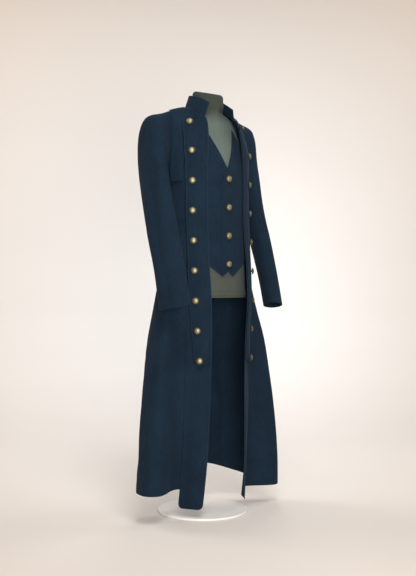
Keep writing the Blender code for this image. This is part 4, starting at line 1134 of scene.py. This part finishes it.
brass_shader.inputs["Metallic"].default_value = 0.85
dents = bump_node(brass_tree, tarnish, 0.5, 0.0004)
brass_tree.links.new(dents.outputs["Normal"], brass_shader.inputs["Normal"])


def add_button(bm, foot, out):
    """One button: its half profile turned about the axis it is sewn on by."""
    top = BUTTON_SHANK + BUTTON_RIM
    profile = [(0.0, top + BUTTON_DOME)]
    profile += [(BUTTON_RADIUS * DOME_SHARE * math.sin(a), top + BUTTON_DOME * (math.cos(a) - 0.06) / 0.94)
                for a in DOME_ANGLES]
    profile += [(BUTTON_RADIUS * share, top + height) for share, height in RIM_PROFILE]
    profile += [(BUTTON_RADIUS * 0.99, BUTTON_SHANK), (BUTTON_RADIUS * DOME_SHARE, BUTTON_SHANK - 0.0001),
                (BUTTON_SHANK_RADIUS, BUTTON_SHANK), (BUTTON_SHANK_RADIUS, 0.0), (0.0, 0.0)]
    place = Matrix.Translation(foot + out * SEAM) @ out.to_track_quat("Z", "Y").to_matrix().to_4x4()
    crown_layer = bm.verts.layers.float.get("crown") or bm.verts.layers.float.new("crown")
    turns = np.linspace(0, 2 * math.pi, BUTTON_SPOKES, endpoint=False)
    spokes = [(math.cos(turn), math.sin(turn)) for turn in turns]
    made, last = [], None
    for radius, height in profile:
        worn = 0.0
        if height > top + 0.0008 or radius > BUTTON_RADIUS * 0.955:
            worn = 1.0 - 0.8 * (radius / BUTTON_RADIUS)**2 if radius < BUTTON_RADIUS * 0.93 else 0.3
        turned = spokes if radius > 0 else ((0.0, 0.0),)
        ring = [bm.verts.new((radius * x, radius * y, height)) for x, y in turned]
        for vert in ring:
            vert[crown_layer] = worn
        made += ring
        if last:
            for i in range(BUTTON_SPOKES):
                j = (i + 1) % BUTTON_SPOKES
                if len(last) == 1:
                    bm.faces.new((last[0], ring[i], ring[j]))
                elif len(ring) == 1:
                    bm.faces.new((last[j], last[i], ring[0]))
                else:
                    bm.faces.new((last[i], ring[i], ring[j], last[j]))
        last = ring
    bmesh.ops.transform(bm, matrix=place, verts=made)


for side in SIDES:
    bm = bmesh.new()
    for z in spaced(LAPEL_BUTTON_TOP_Z, LAPEL_BUTTON_END_Z, LAPEL_BUTTONS):
        across = LAPEL_BUTTON_ACROSS
        foot = lapel_point(side, across, z)
        beside = lapel_point(side, across + 0.05, z)
        above = lapel_point(side, across, min(z + 0.01, LAPEL_TOP_Z))
        out = (beside - foot).cross(above - foot).normalized()
        if out.y > 0:
            out.negate()
        add_button(bm, foot, out)
    row = finished(f"brass_buttons_{side}", bm, brass)
    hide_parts(*[f"button_{side}{number + 1}" for number in range(LAPEL_BUTTONS)])
bm = bmesh.new()
for number in range(WAISTCOAT_BUTTONS):
    z = WAISTCOAT_BUTTON_TOP_Z - number * WAISTCOAT_BUTTON_PITCH
    add_button(bm, waistcoat_point(0.0, z, WAISTCOAT_LIFT + CLOTH + LAYER), Vector((0.0, -1.0, 0.0)))
row = finished("brass_buttons_waistcoat", bm, brass)
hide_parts(*[f"waistcoat_button_{number + 1}" for number in range(WAISTCOAT_BUTTONS)])

# Dress form
# A padded torso with no limbs, covered in grey-green knit pulled smooth, its neck cut off on a slant. Its
# colour is
# darkened by height as painted shade: darkest at the neck under the collar, duller near the foot under the
# lapels, lightest at the chest. A binding tape with two rows of stitching goes round its foot.
NECK_TOP_SLOPE = 0.24
RIM_HEIGHT = 0.024
RIM_CLOTH = 0.0015
FORM_AROUND = 96
FORM_STEP = 0.0088
# Painted shade by height: factors that darken the form cloth at the neck and near the foot, where collar and
# lapels shade it.
FORM_SHADE_START = 0.5
FORM_PAINTED_SHADE = (
    (0.80, (0.50, 0.45, 0.44, 1.0)),
    (0.95, (0.75, 0.76, 0.77, 1.0)),
    (1.27, (0.75, 0.76, 0.77, 1.0)),
    (1.33, (0.33, 0.31, 0.28, 1.0)),
)
form_cloth = cloth_material("Form cloth", (0.076, 0.096, 0.082, 1.0), (0.108, 0.134, 0.115, 1.0),
                            (0.13, 0.155, 0.13, 1.0), 0.82, CLOTH_SHEEN, 0.0011, 0.0001, 0.0001)
form_tree = form_cloth.node_tree
form_base = form_tree.nodes["Principled BSDF"].inputs["Base Color"]
form_place = form_tree.nodes.new("ShaderNodeTexCoord")
form_axes = form_tree.nodes.new("ShaderNodeSeparateXYZ")
form_tree.links.new(form_place.outputs["Object"], form_axes.inputs[0])
form_shade_ramp = form_tree.nodes.new("ShaderNodeValToRGB")
form_shade_ramp.color_ramp.interpolation = "EASE"
for number, (height, shade_factor) in enumerate(FORM_PAINTED_SHADE):
    stops = form_shade_ramp.color_ramp.elements
    stop = stops[number] if number < 2 else stops.new(height - FORM_SHADE_START)
    stop.position = height - FORM_SHADE_START
    stop.color = shade_factor
above_start = math_node(form_tree, "SUBTRACT", form_axes.outputs["Z"], FORM_SHADE_START)
form_tree.links.new(above_start, form_shade_ramp.inputs["Fac"])
# The form cloth's colour is multiplied by the painted shade factors.
form_painted_shade = form_tree.nodes.new("ShaderNodeVectorMath")
form_painted_shade.operation = "MULTIPLY"
form_tree.links.new(form_base.links[0].from_socket, form_painted_shade.inputs[0])
form_tree.links.new(form_shade_ramp.outputs["Color"], form_painted_shade.inputs[1])
form_tree.links.new(form_painted_shade.outputs["Vector"], form_base)


def form_ring(z, grow=0.0):
    """Closed ring of the dress form at a height, its outline grown outwards."""
    width, widest, front, back, power = [track(FORM_SECTIONS, FORM_COLUMNS, name, z)
                                         for name in FORM_COLUMNS[1:]]
    ring = []
    for i in range(FORM_AROUND):
        angle = 2 * math.pi * i / FORM_AROUND
        across, fore = math.sin(angle), math.cos(angle)
        x = (width + grow) * math.copysign(abs(across)**(2 / power), across)
        reach = (widest - front + grow) if fore > 0 else (back - widest + grow)
        y = widest - reach * math.copysign(abs(fore)**(2 / power), fore)
        ring.append(Vector((x, y, z)))
    return ring


def loft(bm, rings):
    """Skins closed rings of equal count, first to last, with a flat map round the skin in metres."""
    flat = bm.loops.layers.uv.new("flat")
    made = [[bm.verts.new(point) for point in ring] for ring in rings]
    for low, high in zip(made, made[1:]):
        for i in range(len(low)):
            j = (i + 1) % len(low)
            face = bm.faces.new((low[i], low[j], high[j], high[i]))
            for loop, station in zip(face.loops, (i, i + 1, i + 1, i)):
                loop[flat].uv = (station * FORM_STEP, loop.vert.co.z)
    return made


FOOT_ROUND = 0.004
NECK_ROUND = 0.011
NECK_TILT_Z = 1.335
foot_z, neck_z = FORM_SECTIONS[0][0], FORM_SECTIONS[-1][0]
quarter = [math.radians(90.0 * i / 5) for i in range(6)]
stack = [(foot_z + FOOT_ROUND * (1 - math.cos(t)), FOOT_ROUND * (math.sin(t) - 1)) for t in quarter]
stack += [(z, 0.0) for z in stations(foot_z + 0.010, neck_z - NECK_ROUND - 0.005, neck_z - foot_z, 0.008)]
stack += [(neck_z + NECK_ROUND * (math.sin(t) - 1), NECK_ROUND * (math.cos(t) - 1)) for t in quarter]
neck_y = sum(point.y for point in form_ring(neck_z)) / FORM_AROUND
rings = []
for z, grow in stack:
    ring = form_ring(z, grow)
    tilt = NECK_TOP_SLOPE * ease((z - NECK_TILT_Z) / (neck_z - NECK_ROUND - NECK_TILT_Z))
    for point in ring:
        point.z += tilt * (point.y - neck_y)
    rings.append(ring)
bm = bmesh.new()
made = loft(bm, rings)
bm.faces.new(reversed(made[0]))
bm.faces.new(made[-1])
bmesh.ops.recalc_face_normals(bm, faces=bm.faces)
torso = finished("dress_form", bm, form_cloth)
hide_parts("form_torso")

# The binding and its stitching
# A narrow tape of the form's colour round its foot, thicker between its two rows of thread.
binding = cloth_material("Form binding", (0.036, 0.040, 0.031, 1.0), (0.054, 0.059, 0.047, 1.0),
                         (0.070, 0.076, 0.062, 1.0), 0.84, CLOTH_SHEEN, 0.0016, 0.00015, 0.0001)
low = FORM_SECTIONS[0][0]
profile = [(0.0, SEAM + 0.0004), (0.0008, SEAM + RIM_CLOTH), (0.004, SEAM + RIM_CLOTH + 0.0002),
           (0.0052, SEAM + RIM_CLOTH - 0.0004), (0.0064, SEAM + RIM_CLOTH + 0.0002),
           (0.012, SEAM + RIM_CLOTH + 0.0005), (0.0176, SEAM + RIM_CLOTH + 0.0002),
           (0.0188, SEAM + RIM_CLOTH - 0.0004), (0.0200, SEAM + RIM_CLOTH + 0.0002),
           (RIM_HEIGHT - 0.0008, SEAM + RIM_CLOTH), (RIM_HEIGHT, SEAM + 0.0004)]
bm = bmesh.new()
outer = loft(bm, [form_ring(low + height, grow) for height, grow in profile])
inner = [form_ring(low + height, SEAM) for height in (RIM_HEIGHT, 0.0)]
closing = [[bm.verts.new(point) for point in ring] for ring in inner]
for lower, upper in ((outer[-1], closing[0]), (closing[0], closing[1]), (closing[1], outer[0])):
    for i in range(FORM_AROUND):
        j = (i + 1) % FORM_AROUND
        bm.faces.new((lower[i], lower[j], upper[j], upper[i]))
bmesh.ops.recalc_face_normals(bm, faces=bm.faces)
rim_band = finished("form_binding", bm, binding)
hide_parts("form_rim")
bm = bmesh.new()
for height in (0.0052, 0.0188):
    ring = form_ring(low + height, SEAM + RIM_CLOTH)
    ring.append(ring[0])

    def around(share_round, _):
        place = share_round * FORM_AROUND
        at = min(int(place), FORM_AROUND - 1)
        return ring[at].lerp(ring[at + 1], place - at)

    stitch_line(bm, around, ((0.0, 0.0), (1.0, 0.0)), FORM_AROUND)
binding_thread = thread_material("Binding thread", (0.010, 0.011, 0.009, 1.0), (0.018, 0.020, 0.016, 1.0),
                                 500.0, 0.7, 0.5)
rim_stitches = finished("form_binding_stitches", bm, binding_thread)

# Stand
# A slim steel pole up into the foot of the form, and a thin round steel plate on the floor, both
# in pale satin paint with the faint waviness of sprayed paint.
PAINT_DARK = (0.60, 0.57, 0.53, 1.0)
PAINT_BRIGHT = (0.65, 0.62, 0.585, 1.0)
stand_paint, paint_tree, paint_shader, paint_place = shader_material("Pale satin paint", 0.42)
paint_shift = noise(paint_tree, paint_place.outputs["Object"], 14.0, 3.0)
paint_colour = mix_colour(paint_tree, paint_shift, PAINT_DARK, PAINT_BRIGHT)
paint_tree.links.new(paint_colour, paint_shader.inputs["Base Color"])
paint_waves = noise(paint_tree, paint_place.outputs["Object"], 260.0, 2.0)
paint_ripple = bump_node(paint_tree, paint_waves, 0.2, 0.0003)
paint_tree.links.new(paint_ripple.outputs["Normal"], paint_shader.inputs["Normal"])
for node in ("stand_pole", "stand_base"):
    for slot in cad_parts[node].material_slots:
        slot.material = stand_paint

# Floor, backdrop, light and camera
# A pale sweep of warm white paper, floor and wall in one, its colour painted brightest behind the coat and
# darker and warmer toward the edges as a painted pool of light. Two large soft lamps stand in front, two
# light the wall and a small one is behind. The camera's focal length and axis are kept in the pixels of a
# frame of 416 by 576.
VIEW_AZIMUTH = math.radians(-40.0)
CAMERA_DISTANCE = 3.17
CAMERA_Z = 0.772
CAMERA_PITCH = math.radians(-0.56)
FOCAL_PIXELS = 952.0
SENSOR_HEIGHT = 24.0
AXIS_PIXEL = 202.5
WALL_BEHIND = 2.56
FLOOR_SHARE = 0.48
# Painted pool of light on the paper: bright colour behind the coat, darker warmer colour toward the edges.
PAPER_PAINTED_POOL = (0.80, 0.785, 0.77, 1.0)
PAPER_PAINTED_FALLOFF = (0.48, 0.415, 0.36, 1.0)
PAPER_FALLOFF_RANGE = (0.30, 2.15)
LAMP_COLOUR = (1.0, 0.99, 0.98)
FRAME_WIDTH, FRAME_HEIGHT = 416.0, 576.0
HORIZON_PIXEL = 279.0
toward = Vector((math.sin(VIEW_AZIMUTH), -math.cos(VIEW_AZIMUTH), 0.0))
rightward = Vector((math.cos(VIEW_AZIMUTH), math.sin(VIEW_AZIMUTH), 0.0))

SWEEP_HALF_WIDTH = 5.0
sweep_profile = [(6.0, 0.0), (-1.4, 0.0), (-1.8, 0.03), (-2.15, 0.14), (-2.4, 0.34), (-2.52, 0.6),
                 (-WALL_BEHIND, 1.0), (-WALL_BEHIND, 5.0)]
bm = bmesh.new()
line = [bm.verts.new(toward * ahead - rightward * SWEEP_HALF_WIDTH + Vector((0.0, 0.0, up)))
        for ahead, up in sweep_profile]
strip = bmesh.ops.extrude_edge_only(bm, edges=[bm.edges.new(pair) for pair in zip(line, line[1:])])
bmesh.ops.translate(bm, vec=rightward * 2 * SWEEP_HALF_WIDTH,
                    verts=[item for item in strip["geom"] if isinstance(item, bmesh.types.BMVert)])
bmesh.ops.recalc_face_normals(bm, faces=bm.faces)
sweep_mesh = bpy.data.meshes.new("sweep")
bm.to_mesh(sweep_mesh)
bm.free()
sweep_mesh.shade_smooth()
paper, paper_tree, paper_shader, paper_place = shader_material("Warm white paper", 0.95, 0.1)
# Painted pool of light: the paper's colour fades from bright behind the coat to darker at the edges.
paper_centre = paper_tree.nodes.new("ShaderNodeVectorMath")
paper_centre.operation = "SUBTRACT"
paper_centre.inputs[1].default_value = -toward * WALL_BEHIND + rightward * 0.03 + Vector((0.0, 0.0, 0.72))
paper_tree.links.new(paper_place.outputs["Object"], paper_centre.inputs[0])
paper_axes = paper_tree.nodes.new("ShaderNodeMapping")
paper_axes.vector_type = "TEXTURE"
paper_axes.inputs["Rotation"].default_value = (0.0, 0.0, VIEW_AZIMUTH)
paper_axes.inputs["Scale"].default_value = (1.0, 1.0 / FLOOR_SHARE, 1.0)
paper_tree.links.new(paper_centre.outputs["Vector"], paper_axes.inputs["Vector"])
paper_distance = paper_tree.nodes.new("ShaderNodeVectorMath")
paper_distance.operation = "LENGTH"
paper_tree.links.new(paper_axes.outputs["Vector"], paper_distance.inputs[0])
paper_painted_falloff = range_node(paper_tree, paper_distance.outputs["Value"], *PAPER_FALLOFF_RANGE)
paper_painted_light = mix_colour(paper_tree, paper_painted_falloff, PAPER_PAINTED_POOL, PAPER_PAINTED_FALLOFF)
paper_tree.links.new(paper_painted_light, paper_shader.inputs["Base Color"])
sweep_mesh.materials.append(paper)
sweep = bpy.data.objects.new("sweep", sweep_mesh)
bpy.context.scene.collection.objects.link(sweep)


def soft_light(name, ahead, right, up, size, power, aim=Vector((0.0, 0.0, 0.75))):
    """A square area light, aimed at the middle of the coat unless told otherwise."""
    data = bpy.data.lights.new(name, "AREA")
    data.size = size
    data.energy = power
    data.color = LAMP_COLOUR
    lamp = bpy.data.objects.new(name, data)
    lamp.location = toward * ahead + rightward * right + Vector((0.0, 0.0, up))
    lamp.rotation_euler = (aim - lamp.location).to_track_quat("-Z", "Y").to_euler()
    bpy.context.scene.collection.objects.link(lamp)


soft_light("key", 1.9, 0.3, 3.0, 1.3, 66.0)
soft_light("front", 3.3, 0.45, 0.8, 1.2, 125.0)
soft_light("wall right", -0.9, 2.2, 2.6, 1.8, 36.0, -toward * WALL_BEHIND)
soft_light("wall left", -0.9, -2.2, 2.6, 1.8, 48.0, -toward * WALL_BEHIND)
soft_light("behind", -1.3, 0.2, 2.5, 0.6, 15.0)
world = bpy.data.worlds.new("studio")
bpy.context.scene.world = world
world.use_nodes = True
world.node_tree.nodes["Background"].inputs["Color"].default_value = (1.0, 0.985, 0.965, 1.0)
world.node_tree.nodes["Background"].inputs["Strength"].default_value = 0.16
bpy.context.scene.view_settings.view_transform = "Standard"

camera_data = bpy.data.cameras.new("camera")
camera_data.sensor_fit = "VERTICAL"
camera_data.sensor_height = SENSOR_HEIGHT
camera_data.lens = SENSOR_HEIGHT * FOCAL_PIXELS / FRAME_HEIGHT
camera_data.shift_x = (FRAME_WIDTH / 2 - AXIS_PIXEL) / FRAME_HEIGHT
pitched = math.tan(-CAMERA_PITCH) * FOCAL_PIXELS
camera_data.shift_y = (HORIZON_PIXEL - FRAME_HEIGHT / 2 + pitched) / FRAME_HEIGHT
camera = bpy.data.objects.new("camera", camera_data)
camera.location = toward * CAMERA_DISTANCE + Vector((0.0, 0.0, CAMERA_Z))
camera.rotation_euler = (math.radians(90.0) + CAMERA_PITCH, 0.0, VIEW_AZIMUTH)
bpy.context.scene.collection.objects.link(camera)
bpy.context.scene.camera = camera
